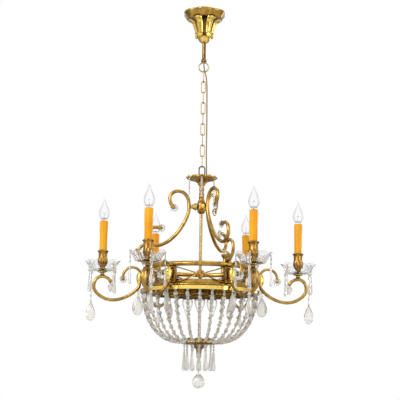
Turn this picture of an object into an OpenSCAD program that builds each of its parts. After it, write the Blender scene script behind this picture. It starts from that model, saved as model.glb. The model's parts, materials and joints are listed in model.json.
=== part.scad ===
// Six-arm crystal basket chandelier, hung on a chain from a ceiling canopy.
// Origin: centre of the canopy rim in the ceiling plane. +Z is up, so the whole lamp is below zero.

/* [Ceiling fitting] */
// Radius of the canopy at the ceiling
canopy_r = 76; // [68:1:95]
// Depth of the canopy from the ceiling to its tip
canopy_h = 106; // [90:1:130]
// Wall of the pressed canopy
canopy_wall = 2; // [1.5:0.5:3]
// Length of the fixing strap in the canopy
strap_l = 124; // [114:1:128]
// Width of the fixing strap
strap_w = 24; // [20:1:30]
// Depth of the strap's bridge below the ceiling
strap_drop = 18; // [14:1:22]
// Distance between the two ceiling screws
screw_span = 96; // [90:1:102]
// Diameter of the ceiling screw holes
screw_hole = 5; // [4:0.5:6]
// Diameter of the threaded tube through strap and canopy
nipple_d = 10; // [9:0.5:12]
// Outer diameter of the visible stem
stem_d = 13; // [13:0.5:18]
// Visible length of the stem
stem_l = 63; // [30:1:150]
// Diameter of the collar at the stem's foot
collar_d = 21; // [21:1:28]
// Height of that collar
collar_h = 10; // [8:1:16]

/* [Chain and cord] */
// Diameter of the flexible cord
cord_d = 4.8; // [4:0.2:5]
// Outer diameter of the round ring under the stem
ring_od = 38; // [32:1:46]
// Wire of that ring
ring_wire = 4; // [3:0.5:4.5]
// Outer length of one chain link
link_l = 45.5; // [40:0.5:50]
// Outer width of one chain link
link_w = 17; // [16:0.5:18]
// Wire of the links
link_wire = 3.5; // [3:0.5:4]
// Outer width of the shackle
shackle_w = 24; // [22:0.5:26]
// Length of the shackle from its crown to its feet
shackle_l = 50; // [44:1:56]
// Wire of the shackle
shackle_wire = 4; // [3:0.5:4.5]

/* [Column] */
// Radius of the leaf cap
cap_r = 53.5; // [46:0.5:60]
// Height of the leaf cap
cap_h = 27; // [22:1:34]
// Diameter of the rod through the whole body
rod_d = 10.4; // [9:0.2:11]
// Diameter of the turned column
column_d = 15; // [14:0.5:20]
// Length of the turned column
column_l = 46; // [36:1:60]
// Greatest radius of the hub
hub_r = 15; // [14:0.5:18]
// Height of the hub
hub_h = 56; // [50:1:64]
// Reach of a spigot from the hub's axis
spigot_reach = 36; // [32:1:44]

/* [Scrolls] */
// Diameter of the upper scroll tubes
scroll_d = 12; // [9:0.5:13]
// Height from the spigots down to the lowest point of the upper scrolls
scroll_drop = 136; // [126:1:146]
// Diameter of the feet under the upper scrolls
foot_d = 11; // [8:0.5:12]
// Diameter of the flower beads on the scroll ends
flower_d = 27; // [22:1:30]

/* [Ring frame] */
// Radius of the two hoops
hoop_r = 182; // [174:1:190]
// Thickness of the top hoop
hoop_d = 16; // [13:0.5:17]
// Thickness of the bottom hoop
low_hoop_d = 10.5; // [9:0.5:13]
// Height between the middles of the two hoops
hoop_gap = 67.5; // [60:0.5:74]
// Middle of the top hoop below the lowest point of the upper scrolls
hoop_drop = 80.5; // [76:0.5:88]
// Width of a post
post_w = 26; // [20:1:30]
// Depth of a post
post_t = 13; // [9:0.5:16]
// Diameter of the lattice bars
bar_d = 4; // [3:0.5:5]
// Diameter of the rosettes
rosette_d = 30; // [24:1:34]

/* [Arms] */
// Reach of an arm, from its collar to its candle
arm_reach = 128; // [122:1:140]
// Distance of the arm collars outside the hoops' circle
socket_out = 24; // [22:1:30]
// Diameter of the arm collars
socket_d = 23; // [19:0.5:25]
// Height of the arm collars
socket_h = 38; // [34:1:44]
// Diameter of the arm tubes
arm_d = 11; // [9:0.5:12.5]
// Diameter of the small side scrolls
side_d = 9; // [7:0.5:10]

/* [Candles] */
// Radius of the glass bobeche
bobeche_r = 61; // [56:1:66]
// Depth of the glass bobeche
bobeche_h = 33; // [28:1:38]
// Height of a candle cup
cup_h = 68; // [60:1:76]
// Visible height of a candle sleeve
sleeve_h = 102; // [80:1:130]
// Outer diameter of a candle sleeve
sleeve_d = 27.5; // [25:0.5:29]
// Diameter of a bulb
bulb_d = 36.5; // [33:0.5:39]
// Length of a bulb's glass
bulb_l = 86; // [76:1:92]

/* [Crystals] */
// Radius of the crystal basket at its top
basket_top_r = 195; // [190:1:196]
// Radius of the basket where its strings end
basket_low_r = 60; // [58:1:64]
// Depth of the basket
basket_depth = 173; // [160:1:190]
// Strings round the basket
string_count = 30; // [18:6:30]
// Beads on one string
bead_count = 18; // [14:1:18]
// Size of the uppermost bead
bead_top_d = 14.5; // [13:0.5:15]
// Size of the lowest bead
bead_low_d = 10; // [8:0.5:10]
// Radius of the plate under the basket
plate_r = 57; // [54:1:60]
// Drops in the fringe under the plate
fringe_count = 14; // [10:1:16]
// Length of a fringe prism
prism_l = 64; // [50:1:70]
// Length of a prism under a bobeche
spear_l = 68; // [56:1:74]
// Width of the large pendants
pendant_w = 37; // [30:1:40]
// Length of the large pendants
pendant_l = 69; // [60:1:76]
// Diameter of the crystal ball
ball_d = 44; // [36:1:50]

/* [Hidden] */

$fn = 48;
gold = "goldenrod";
dark = "saddlebrown";
crystal = "lightcyan";

// Clearances: between parts that are set against each other, and in running fits
seat = 0.3;
run = 0.35;
slack = 0.3;

arm_count = 6;
scroll_count = 3;
// Azimuth of the first upper scroll
scroll_turn = 60;

// Strap and stem
strap_t = 3;
nut_h = 6;
nut_d = 19;
cord_bore = cord_d + 1;
z_bridge = -strap_drop;
z_tip = -canopy_h;
z_stem = z_tip - stem_l;
z_collar = z_stem - collar_h;
socket_depth = 6;

// Eye under the stem collar, and the ring in it
eye_hole = ring_wire + 2 * run;
eye_wall = 1.4;
eye_half = eye_hole / 2 + eye_wall;
eye_t = 5;
z_eye = z_collar - ring_wire / 2 - 2;
ring_r = (ring_od - ring_wire) / 2;
z_ring = z_eye - ring_r;
cord_y = -(eye_half + slack + cord_d / 2);

// Chain: each link hangs in the one above
link_count = 9;
link_pitch = link_l - 2 * link_wire - slack;
z_link = z_ring - ring_r + ring_wire / 2 + slack + link_wire;
z_last = z_link - (link_count - 1) * link_pitch;
z_hook = z_last - link_l + link_wire;

// Shackle
shackle_r = (shackle_w - shackle_wire) / 2;
z_crown = z_hook + slack + shackle_wire / 2;
z_shackle = z_crown + shackle_wire / 2;

// Column, from the shackle's feet down
boss_r = 21;
boss_h = 10;
leg_depth = 7;
z_boss = z_shackle - shackle_l + leg_depth;
z_cap = z_boss - boss_h;
cap_floor = 15;
z_neck = z_cap - cap_floor;
z_rim = z_neck + cap_h;
z_hub = z_neck - column_l;
z_spigot = z_hub - hub_h * 0.55;
z_under_hub = z_hub - hub_h;
rod_bore = rod_d + 0.4;
stud_d = 8;
// How far the rod reaches into the finial
rod_depth = 22;

// A scroll is a list of [bend radius, angle]; angle 0 is a straight length
scroll_shape = [[44, 49], [23, 51], [32.5, 84], [48, 35], [110, 10], [97, 20], [203, 26], [114, 22],
    [35, 22], [35, 36], [33, 100], [21, 44], [80, 15]];
scroll_start = 41;
scroll_touch = 5;
scroll_base = 9;
arm_shape = [[23, 40], [120, 42], [79, 55], [35.7, 81], [26.5, 52], [34, 35], [27, 35]];
arm_start = -90;
arm_crown = 5;
side_shape = [[10, -31], [27, -44], [31, -74], [36, -41]];
side_start = 90;

// Upper scrolls
scroll_fall = (path_at(scroll_shape, scroll_touch, scroll_start)
    - path_at(scroll_shape, scroll_base, scroll_start)).y;
scroll_turns = scaled(scroll_shape, scroll_drop / scroll_fall);
scroll_from = [spigot_reach + seat + scroll_d / 2, z_spigot]
    - path_at(scroll_turns, scroll_touch, scroll_start);
scroll_low = scroll_from + path_at(scroll_turns, scroll_base, scroll_start);

// Ring frame
z_top_hoop = scroll_low.y - hoop_drop;
z_low_hoop = z_top_hoop - hoop_gap;
hoop_top = z_top_hoop + hoop_d / 2;
post_h = hoop_gap - (hoop_d + low_hoop_d) / 2 - 2 * seat;
z_ring_mid = z_top_hoop - hoop_d / 2 - seat - post_h / 2;
rosette_t = 8;

// Calyx cups inside the top hoop
calyx_r = hoop_r - 20;
calyx_base_r = 7.5;
calyx_h = 28;
z_calyx = hoop_top - 3;

// Feet: from the outside of the upper scrolls over the top hoop to the calyx cups, in a lead and
// two quarter turns that are worked out to end there
foot_lean = scroll_shape[scroll_base][1];
foot_lead = 21;
foot_from = scroll_from + path_at(scroll_turns, scroll_base + 1, scroll_start)
    + (scroll_d / 2 + foot_d / 2 + seat) * [sin(foot_lean), -cos(foot_lean)];
foot_end = [calyx_r + calyx_base_r + seat, hoop_top + seat + foot_d / 2 - 1.3];
foot_span = foot_end - foot_from - path_at([[foot_lead, -foot_lean]], 1, foot_lean);
foot_fold = -(foot_span.x + foot_span.y) / 2;
foot_turns = [[foot_lead, -foot_lean], [foot_span.x + foot_fold, -90], [foot_fold, -90]];

// Arms
socket_r = hoop_r + socket_out;
candle_r = socket_r + arm_reach;
z_socket = z_ring_mid + socket_h / 2 + 1;
arm_from = [socket_r, z_socket - socket_h];
arm_turns = scaled(arm_shape, arm_reach / path_at(arm_shape, arm_crown, arm_start).x);
// Room between a side scroll's tip and the rim of the bobeche
side_room = 10.2;
side_turns = scaled(side_shape, (arm_reach - bobeche_r - side_room)
    / path_at(side_shape, len(side_shape), side_start).x);
z_crest = arm_from.y + path_at(arm_turns, arm_crown, arm_start).y + arm_d / 2;

// Candles, from the crest of the arm up
nozzle_r = 9;
nozzle_h = 8.5;
flange_r = 16;
flange_t = 3;
nozzle_stud = 9.6;
glass_t = 4;
z_nozzle = z_crest + seat;
z_glass = z_nozzle + nozzle_h + flange_t;
z_cup = z_glass + glass_t;
z_cup_rim = z_cup + cup_h;
cup_rim_r = 18.5;
cup_floor = 26;
z_sleeve = z_cup + cup_floor;
z_sleeve_top = z_cup_rim + sleeve_h;
sleeve_wall = 1.2;
holder_d = sleeve_d - 2 * sleeve_wall - 2 * seat;
holder_h = 60;
bulb_cap_d = 13.6;
bulb_cap_h = 24;
z_bulb = z_sleeve_top + 1;

// Basket
flange_h = 3.5;
lip_t = 3;
lip_h = 9;
lip_r = hoop_r + socket_out - 3;
z_basket = z_low_hoop - low_hoop_d / 2 - flange_h;
bead_t = 5;
bead_gap = 0.6;
fullness = 0.85;
z_plate = z_basket - basket_depth - bead_t / 2 - seat;
plate_t = 3.5;
z_fringe = z_plate - plate_t;

// Drops that swing: a wire ring through a drilled tab
tab_hole = 2.6;
tab_t = 2.5;
tab_half = tab_hole / 2 + 1.3;
drop_ring_r = 4;
drop_wire = 1.6;
pendant_t = 12;
drop_stub = 9;
arm_tab_turn = 1;
arm_tab = arm_from + path_at(arm_turns, arm_tab_turn, arm_start);
z_arm_pivot = arm_tab.y - arm_d / 2 - tab_half - 1.5;
finial_h = 56;
z_ball_pivot = z_fringe - finial_h - tab_half;
ball_neck = 32;

// Lamps in the basket
lamp_count = 3;
lamp_r = 48;
z_carrier = z_ring_mid - 14;
carrier_t = 3;
low_holder_h = 34;
z_low_bulb = z_carrier - carrier_t - low_holder_h - seat;

// Route of the cord beside the chain, from the stem collar to the shackle boss
cord_route = [[0, -6.5, -176], [0, -6.5, -185], [1, -7, -200], [4, -7.5, -216], [8, -7, -232],
    [11, -5, -250], [12.5, -3, -275], [13, -2, -310], [13.5, -2, -350], [14, -2, -400],
    [14, -2, -450], [14, -2, -500], [14.5, -2, -535], [15.5, -1.5, -560], [16, -1, -580],
    [16, 0, -595], [16, 0, -606]];

function rotated(p, a) = [p.x * cos(a) - p.y * sin(a), p.x * sin(a) + p.y * cos(a)];
function scaled(turns, s) = [for (t = turns) [t[0] * s, t[1]]];
function turn_end(t) = t[1] == 0 ? [t[0], 0]
    : [t[0] * sin(abs(t[1])), sign(t[1]) * t[0] * (1 - cos(t[1]))];
function path_head(turns, n) = n < 1 ? 0 : path_head(turns, n - 1) + turns[n - 1][1];
function path_at(turns, n, start) = n < 1 ? [0, 0]
    : path_at(turns, n - 1, start)
        + rotated(turn_end(turns[n - 1]), start + path_head(turns, n - 1));

// Closed tube through rings of points, each with the same number of sides
module tube(rings) {
    sides = len(rings[0]);
    last = len(rings) - 1;
    walls = [for (i = [0:last - 1], k = [0:sides - 1])
        let (a = i * sides + k, b = i * sides + (k + 1) % sides) [a, a + sides, b + sides, b]];
    ends = [[for (k = [0:sides - 1]) k], [for (k = [sides - 1:-1:0]) last * sides + k]];
    polyhedron([for (r = rings) each r], concat(walls, ends));
}

// Stations of a scroll as [[r, z], heading], no more than 12 degrees apart
function stations(from, start, turns) = concat(
    [for (i = [0:len(turns) - 1]) let (t = turns[i], n = max(1, ceil(abs(t[1]) / 12)))
        for (k = [0:n - 1]) let (part = k == 0 ? [0, 0] : turn_end([t[0], t[1] * k / n]))
            [from + path_at(turns, i, start) + rotated(part, start + path_head(turns, i)),
            start + path_head(turns, i) + t[1] * k / n]],
    [[from + path_at(turns, len(turns), start), start + path_head(turns, len(turns))]]);

// Scroll tube in the XZ plane, from a point [r, z] along a start angle
module scroll_tube(from, start, turns, d) {
    sides = 10;
    tube([for (s = stations(from, start, turns))
        [for (k = [0:sides - 1]) let (a = k * 360 / sides, q = rotated([0, d / 2 * cos(a)], s[1]))
            [s[0].x + q.x, -d / 2 * sin(a), s[0].y + q.y]]]);
}

// Places its child at the end of a scroll, with +X along the tube
module at_scroll_end(from, start, turns) {
    n = len(turns);
    p = from + path_at(turns, n, start);
    translate([p.x, 0, p.y]) rotate([0, -start - path_head(turns, n), 0]) children();
}

module at_arms() { for (i = [0:arm_count - 1]) rotate([0, 0, i * 360 / arm_count]) children(); }
module at_scrolls() {
    for (i = [0:scroll_count - 1]) rotate([0, 0, scroll_turn + i * 360 / scroll_count]) children();
}
module at_lamps() {
    for (i = [0:lamp_count - 1]) rotate([0, 0, 30 + i * 360 / lamp_count]) children();
}
module at_candles() { at_arms() translate([candle_r, 0, 0]) children(); }

// Solid of revolution from [radius, height] points
module turned(points) { rotate_extrude() polygon(points); }

// Oval chain link in the XZ plane, its top at z = 0
module chain_link() {
    r = (link_w - link_wire) / 2;
    run_l = link_l - link_w;
    translate([0, 0, -link_w / 2]) rotate([90, 0, 0]) rotate_extrude(angle = 180)
        translate([r, 0]) circle(d = link_wire, $fn = 24);
    translate([0, 0, -link_w / 2 - run_l]) rotate([90, 0, 0]) rotate([0, 0, 180])
        rotate_extrude(angle = 180) translate([r, 0]) circle(d = link_wire, $fn = 24);
    for (e = [1, -1]) translate([e * r, 0, -link_w / 2 - run_l])
        cylinder(d = link_wire, h = run_l, $fn = 24);
}

// Flat octagonal crystal that faces +X, its string running along Z
module octagon_bead(d, t = bead_t) {
    rotate([0, 90, 0]) rotate([0, 0, 22.5]) cylinder(d = d / cos(22.5), h = t, $fn = 8, center = true);
}

// Six-sided crystal prism that hangs down from z = 0
module prism(d, h) { translate([0, 0, -h]) cylinder(d = d, h = h, $fn = 6); }

// Flat pear-shaped pendant in the XZ plane that hangs down from z = 0
module pendant(w, h, t) {
    steps = 24;
    translate([0, t / 2, -h / 2]) rotate([90, 0, 0]) linear_extrude(t)
        polygon([for (i = [0:steps - 1]) let (a = i * 360 / steps)
            [w * 0.62 * sin(a) * pow(sin(a / 2), 1.4), h / 2 * cos(a)]]);
}

// Tab drilled along Y for a drop's ring, the hole at the origin, its stub reaching up by h
module drop_tab(h) {
    difference() {
        union() {
            rotate([90, 0, 0]) cylinder(r = tab_half, h = tab_t, center = true);
            translate([-tab_half, -tab_t / 2, 0]) cube([2 * tab_half, tab_t, h]);
        }
        rotate([90, 0, 0]) cylinder(d = tab_hole, h = 2 * tab_t, center = true);
    }
}

// Wire ring of a drop, its top wire at the origin
module drop_ring() {
    translate([0, 0, -drop_ring_r]) rotate([0, 90, 0]) rotate_extrude()
        translate([drop_ring_r, 0]) circle(d = drop_wire, $fn = 16);
}

module ceiling_strap() {
    bridge = strap_l / 2 - 32;
    color("gainsboro") difference() {
        translate([0, strap_w / 2, 0]) rotate([90, 0, 0]) linear_extrude(strap_w) {
            for (e = [0, 1]) mirror([e, 0]) {
                translate([bridge, -strap_t]) square([strap_l / 2 - bridge, strap_t]);
                translate([bridge - strap_t, z_bridge]) square([strap_t, strap_drop]);
                translate([-1, z_bridge]) square([bridge, strap_t]);
            }
        }
        for (e = [1, -1]) translate([e * screw_span / 2, 0, -2 * strap_t])
            cylinder(d = screw_hole, h = 3 * strap_t);
        translate([0, 0, z_bridge - 1]) cylinder(d = nipple_d + 0.2, h = strap_t + 2);
    }
}

module stem_locknut() {
    color("silver") translate([0, 0, z_bridge + strap_t]) difference() {
        cylinder(d = nut_d, h = nut_h, $fn = 6);
        translate([0, 0, -1]) cylinder(d = nipple_d + 0.2, h = nut_h + 2);
    }
}

module terminal_block() {
    size = [20, 14, 11];
    color("white") translate([nut_d / 2 + 2, -size.y / 2, z_bridge - size.z - seat]) difference() {
        cube(size);
        for (k = [0:2]) translate([4 + 6 * k, size.y + 1, size.z / 2]) rotate([90, 0, 0])
            cylinder(d = 3.2, h = size.y + 2);
    }
}

module canopy() {
    // Shares of the rim radius and of the depth
    shape = [[1, 0], [1, 0.05], [0.95, 0.08], [0.91, 0.16], [0.8, 0.26], [0.63, 0.38], [0.51, 0.48],
        [0.45, 0.58], [0.4, 0.69], [0.37, 0.79], [0.3, 0.9]];
    tip_r = 12.5;
    outer = concat([for (p = shape) [p.x * canopy_r, p.y * z_tip]], [[tip_r, z_tip]]);
    inner = [for (i = [len(shape) - 1:-1:0]) [shape[i].x * canopy_r - canopy_wall, shape[i].y * z_tip]];
    hole = nipple_d / 2 + 0.2;
    color(gold) turned(concat(outer, [[hole, z_tip], [hole, z_tip + canopy_wall],
        [tip_r - canopy_wall, z_tip + canopy_wall]], inner));
}

module stem() {
    color(gold) difference() {
        union() {
            translate([0, 0, z_tip]) cylinder(d = nipple_d, h = -z_tip + z_bridge + strap_t + nut_h + 1);
            translate([0, 0, z_stem]) cylinder(d = stem_d, h = stem_l);
            translate([0, 0, z_stem - socket_depth]) cylinder(d = nipple_d, h = socket_depth);
        }
        translate([0, 0, z_stem - socket_depth - 1])
            cylinder(d = cord_bore, h = -z_stem + socket_depth);
    }
}

module stem_collar() {
    lug_top = z_collar + 1;
    color(gold) difference() {
        union() {
            translate([0, 0, z_collar]) cylinder(d1 = collar_d, d2 = stem_d + 3, h = collar_h);
            translate([-eye_t / 2, -eye_half, z_eye]) cube([eye_t, 2 * eye_half, lug_top - z_eye]);
            translate([-eye_t / 2, 0, z_eye]) rotate([0, 90, 0]) cylinder(r = eye_half, h = eye_t);
        }
        translate([0, 0, z_stem - socket_depth]) cylinder(d = nipple_d + 0.2, h = socket_depth + 1);
        translate([-eye_t, 0, z_eye]) rotate([0, 90, 0]) cylinder(d = eye_hole, h = 2 * eye_t);
        translate([0, cord_y, z_collar - 1]) cylinder(d = cord_bore, h = collar_h - 1);
    }
}

module top_ring() {
    color(gold) translate([0, 0, z_ring]) rotate([90, 0, 0]) rotate_extrude()
        translate([ring_r, 0]) circle(d = ring_wire, $fn = 24);
}

module chain_side_links() {
    color(gold) for (i = [0:2:link_count - 3]) translate([0, 0, z_link - i * link_pitch])
        rotate([0, 0, 90]) chain_link();
}

module chain_face_links() {
    color(gold) for (i = [1:2:link_count - 2]) translate([0, 0, z_link - i * link_pitch]) chain_link();
}

module end_link() { color(gold) translate([0, 0, z_last]) rotate([0, 0, 90]) chain_link(); }

// Smooth point between route points i and i + 1
function spline(p, i, t) =
    let (a = p[max(i - 1, 0)], b = p[i], c = p[i + 1], d = p[min(i + 2, len(p) - 1)])
    0.5 * (2 * b + (c - a) * t + (2 * a - 5 * b + 4 * c - d) * t * t
        + (3 * b - a - 3 * c + d) * t * t * t);

module power_cord() {
    steps = 2;
    sides = 8;
    last = len(cord_route) - 1;
    path = concat([for (i = [0:last - 1], k = [0:steps - 1]) spline(cord_route, i, k / steps)],
        [cord_route[last]]);
    color("peru") tube([for (i = [0:len(path) - 1])
        let (t = path[min(i + 1, len(path) - 1)] - path[max(i - 1, 0)],
            w = t / norm(t), u = cross([0, 1, 0], w) / norm(cross([0, 1, 0], w)), v = cross(w, u))
        [for (k = [0:sides - 1]) let (a = k * 360 / sides)
            path[i] + cord_d / 2 * (cos(a) * u + sin(a) * v)]]);
}

module shackle() {
    leg = shackle_l - shackle_w / 2;
    color("dimgray") translate([0, 0, z_shackle - shackle_w / 2]) {
        rotate([90, 0, 0]) rotate_extrude(angle = 180) translate([shackle_r, 0])
            circle(d = shackle_wire, $fn = 24);
        for (e = [1, -1]) translate([e * shackle_r, 0, -leg])
            cylinder(d = shackle_wire, h = leg, $fn = 24);
    }
}

module shackle_boss() {
    color(dark) difference() {
        translate([0, 0, z_cap]) cylinder(r = boss_r, h = boss_h);
        for (e = [1, -1]) translate([e * shackle_r, 0, z_boss - leg_depth - seat])
            cylinder(d = shackle_wire + 0.4, h = leg_depth + 1);
        translate([0, 0, z_cap - 1]) cylinder(d = rod_bore, h = boss_h - 3);
        translate([cord_route[len(cord_route) - 1].x, 0, z_cap - 1])
            cylinder(d = cord_bore, h = boss_h + 2);
    }
}

module leaf_cap() {
    wall = 1.6;
    // Underside of the dish: shares of its radius, heights above the neck as shares of its height
    dish = [[0.24, 0], [0.26, 0.14], [0.37, 0.4], [0.56, 0.62], [0.82, 0.85], [1, 1]];
    under = [for (p = dish) [p.x * cap_r, z_neck + p.y * cap_h - wall]];
    over = [for (i = [5, 4]) under[i] + [0, wall]];
    hole = rod_bore / 2;
    color(gold) turned(concat([[hole, under[0].y]], under, over,
        [[boss_r + 6, z_cap + 3], [boss_r + seat, z_cap], [hole, z_cap]]));
}

module cap_bead_strings() {
    beads = 6;
    d = 8;
    drop = 22;
    top = z_rim - 4.2;
    color(crystal) at_arms() rotate([0, 0, 30]) translate([cap_r - 4, 0, top]) {
        for (k = [0:beads - 1]) translate([0, 0, -(k + 0.5) * (d + bead_gap)]) octagon_bead(d, 4);
        translate([0, 0, -beads * (d + bead_gap)]) prism(6, drop);
    }
}

module column() {
    r = column_d / 2;
    bulge = 1.6;
    color(dark) turned([[rod_bore / 2, z_hub], [r + bulge, z_hub], [r + bulge, z_hub + 4], [r, z_hub + 8],
        [r, z_neck - 22], [r + bulge, z_neck - 18], [r, z_neck - 14], [r, z_neck - 3],
        [r + bulge, z_neck - 1.6], [rod_bore / 2, z_neck - 1.6]]);
}

module hub() {
    // Shares of the hub's radius, and of its height from the top
    shape = [[0.6, 0], [0.66, 0.08], [0.9, 0.3], [1, 0.38], [1, 0.6], [0.86, 0.7], [0.86, 0.8], [0.66, 0.94],
        [0.45, 1]];
    color(gold) difference() {
        turned(concat([[rod_bore / 2, z_hub]], [for (p = shape) [p.x * hub_r, z_hub - p.y * hub_h]],
            [[rod_bore / 2, z_under_hub]]));
        at_scrolls() translate([rod_bore / 2 + 2.5, 0, z_spigot]) rotate([0, 90, 0])
            cylinder(d = stud_d + 0.4, h = hub_r);
    }
}

module spigots() {
    root = hub_r + seat;
    flare = root + 6;
    neck = spigot_reach - 3.5;
    color(gold) at_scrolls() translate([0, 0, z_spigot]) rotate([0, 90, 0]) {
        translate([0, 0, rod_bore / 2 + 3]) cylinder(d = stud_d, h = root);
        translate([0, 0, root]) cylinder(r1 = 11, r2 = 13, h = flare - root);
        translate([0, 0, flare]) cylinder(r1 = 13, r2 = 6, h = neck - flare);
        translate([0, 0, neck]) cylinder(r = 7, h = spigot_reach - neck);
    }
}

module centre_rod() {
    top = z_cap + boss_h - 4.5;
    low = z_fringe - rod_depth;
    color(gold) translate([0, 0, low]) cylinder(d = rod_d, h = top - low);
}

module upper_scrolls() {
    color(gold) at_scrolls() scroll_tube(scroll_from, scroll_start, scroll_turns, scroll_d);
}

// Start of a scroll as a place for its child, with +X pointing out of the tube's end
module at_scroll_start(from, start) {
    translate([from.x, 0, from.y]) rotate([0, 180 - start, 0]) children();
}

// Faceted flower bead pushed on a tube's end along +X
module flower_bead(d) {
    translate([seat, 0, 0]) rotate([0, 90, 0]) cylinder(d = d, h = d * 0.5, $fn = 10);
}

module upper_flower_beads() {
    color(crystal) at_scrolls() {
        at_scroll_start(scroll_from, scroll_start) flower_bead(flower_d);
        at_scroll_end(scroll_from, scroll_start, scroll_turns) flower_bead(flower_d - 3);
    }
}

module scroll_feet() {
    color(gold) at_scrolls() scroll_tube(foot_from, foot_lean, foot_turns, foot_d);
}

module calyx_cups() {
    b = calyx_base_r;
    color(gold) at_scrolls() translate([calyx_r, 0, z_calyx])
        turned([[0, 0], [b - 2, 0], [b, 2], [b, 14], [b + 3, 21], [b + 4.5, calyx_h], [b + 2, calyx_h - 3],
            [0, calyx_h - 3]]);
}

module calyx_beads() {
    color(crystal) at_scrolls() translate([calyx_r, 0, z_calyx + calyx_h - 3 + seat])
        cylinder(d = 16, h = 15, $fn = 8);
}

module hoop(z, d) {
    color(gold) translate([0, 0, z]) rotate_extrude($fn = 96)
        translate([hoop_r, 0]) circle(d = d, $fn = 24);
}

module top_hoop() { hoop(z_top_hoop, hoop_d); }
module bottom_hoop() { hoop(z_low_hoop, low_hoop_d); }

module ring_posts() {
    lug_end = socket_r - socket_d / 2 - seat;
    color(dark) at_arms() translate([0, 0, z_ring_mid]) {
        translate([hoop_r - post_t / 2, -post_w / 2, -post_h / 2]) cube([post_t, post_w, post_h]);
        translate([hoop_r, -5, -post_h / 4]) cube([lug_end - hoop_r, 10, post_h / 2]);
    }
}

// Two crossed bars in each panel, cut short at the posts and at the rosette in the middle
module ring_lattice() {
    a = 180 / arm_count;
    side = hoop_r * sin(a) - post_w / 2 * cos(a);
    depth = hoop_r * (1 - cos(a)) - post_w / 2 * sin(a);
    half_h = post_h / 2 - bar_d / 2;
    tilt = atan(half_h / norm([side, depth]));
    lean = atan(depth / side);
    from = (rosette_d / 2 + seat + bar_d / 2 * sin(lean)) / cos(lean);
    to = norm([side, half_h, depth]) - bar_d / 4 - seat;
    color(gold) at_arms() rotate([0, 0, a]) translate([hoop_r, 0, z_ring_mid])
        for (s = [1, -1], t = [1, -1])
            rotate([0, 0, s * (90 + lean)]) rotate([0, 90 - t * tilt, 0])
                translate([0, 0, from]) cylinder(d = bar_d, h = to - from, $fn = 16);
}

module ring_rosettes() {
    color(dark) at_arms() rotate([0, 0, 180 / arm_count])
        translate([hoop_r - rosette_t / 2, 0, z_ring_mid]) rotate([0, 90, 0])
            cylinder(d = rosette_d, h = rosette_t);
}

module arm_collars() {
    r = socket_d / 2;
    h = socket_h;
    color(gold) at_arms() translate([socket_r, 0, z_socket - h])
        turned([[0, 0], [r * 0.66, 0], [r * 0.78, 2], [r * 0.93, 7], [r, h * 0.34], [r, h * 0.66],
            [r * 0.93, h - 7], [r * 0.78, h - 2], [r * 0.6, h], [0, h]]);
}

module lower_arms() {
    color(gold) at_arms() {
        scroll_tube(arm_from, arm_start, arm_turns, arm_d);
        translate([arm_tab.x, 0, z_arm_pivot]) drop_tab(arm_tab.y - z_arm_pivot);
    }
}

module side_scrolls() {
    color(gold) at_arms() scroll_tube([socket_r, z_socket], side_start, side_turns, side_d);
}

module arm_flower_beads() {
    color(crystal) at_arms() {
        at_scroll_end(arm_from, arm_start, arm_turns) flower_bead(flower_d - 5);
        at_scroll_end([socket_r, z_socket], side_start, side_turns) flower_bead(flower_d);
    }
}

module nozzles() {
    color(gold) at_candles() translate([0, 0, z_nozzle]) {
        turned([[0, 0], [nozzle_r, 0], [nozzle_r - 3, 3], [nozzle_r - 2, nozzle_h - 3], [flange_r, nozzle_h],
            [flange_r, nozzle_h + flange_t], [0, nozzle_h + flange_t]]);
        cylinder(d = nozzle_stud, h = nozzle_h + flange_t + glass_t + 8);
    }
}

module bobeches() {
    hole = nozzle_stud / 2 + 0.6;
    lip = 3.5;
    top = z_glass + bobeche_h;
    r = bobeche_r;
    color(crystal) at_candles() turned([[hole, z_glass], [r * 0.6, z_glass], [r * 0.72, z_glass + 6],
        [r * 0.84, z_glass + bobeche_h * 0.55], [r * 0.86, top - lip], [r, top - lip], [r, top],
        [r * 0.82, top - 1], [r * 0.77, z_glass + bobeche_h * 0.55], [r * 0.65, z_glass + 9],
        [r * 0.56, z_glass + glass_t], [hole, z_glass + glass_t]]);
}

module candle_cups() {
    bore = sleeve_d / 2 + 0.2;
    body = bore + 1.5;
    color(gold) at_candles() translate([0, 0, z_cup]) difference() {
        turned([[0, 0], [12, 0], [12, 3], [7.5, 6], [9, 14], [body, cup_floor - 2], [body, cup_h - 7],
            [cup_rim_r, cup_h - 4], [cup_rim_r, cup_h], [0, cup_h]]);
        translate([0, 0, cup_floor]) cylinder(r = bore, h = cup_h);
        translate([0, 0, -1]) cylinder(d = nozzle_stud + 0.4, h = cup_floor + 2);
    }
}

module lampholders() {
    color("dimgray") at_candles() difference() {
        union() {
            translate([0, 0, z_cup + 8 + seat])
                cylinder(d = nozzle_stud, h = z_sleeve_top - z_cup - 10 - seat);
            translate([0, 0, z_sleeve_top - 2 - holder_h]) cylinder(d = holder_d, h = holder_h);
        }
        translate([0, 0, z_bulb - bulb_cap_h - 1]) cylinder(d = bulb_cap_d + 0.4, h = bulb_cap_h + 4);
    }
}

module candle_sleeves() {
    color("orange") at_candles() translate([0, 0, z_sleeve]) difference() {
        cylinder(d = sleeve_d, h = z_sleeve_top - z_sleeve);
        translate([0, 0, -1]) cylinder(d = sleeve_d - 2 * sleeve_wall, h = z_sleeve_top - z_sleeve + 2);
    }
}

// Bent-tip bulb with its cap's rim at z = 0: shares of the radius and of the glass length
bulb_shape = [[0.44, 0], [0.62, 0.08], [0.88, 0.17], [1, 0.27], [0.94, 0.4], [0.74, 0.54], [0.48, 0.68],
    [0.26, 0.82], [0.12, 0.93], [0.05, 1]];
bulb_wall = 1;

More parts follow.
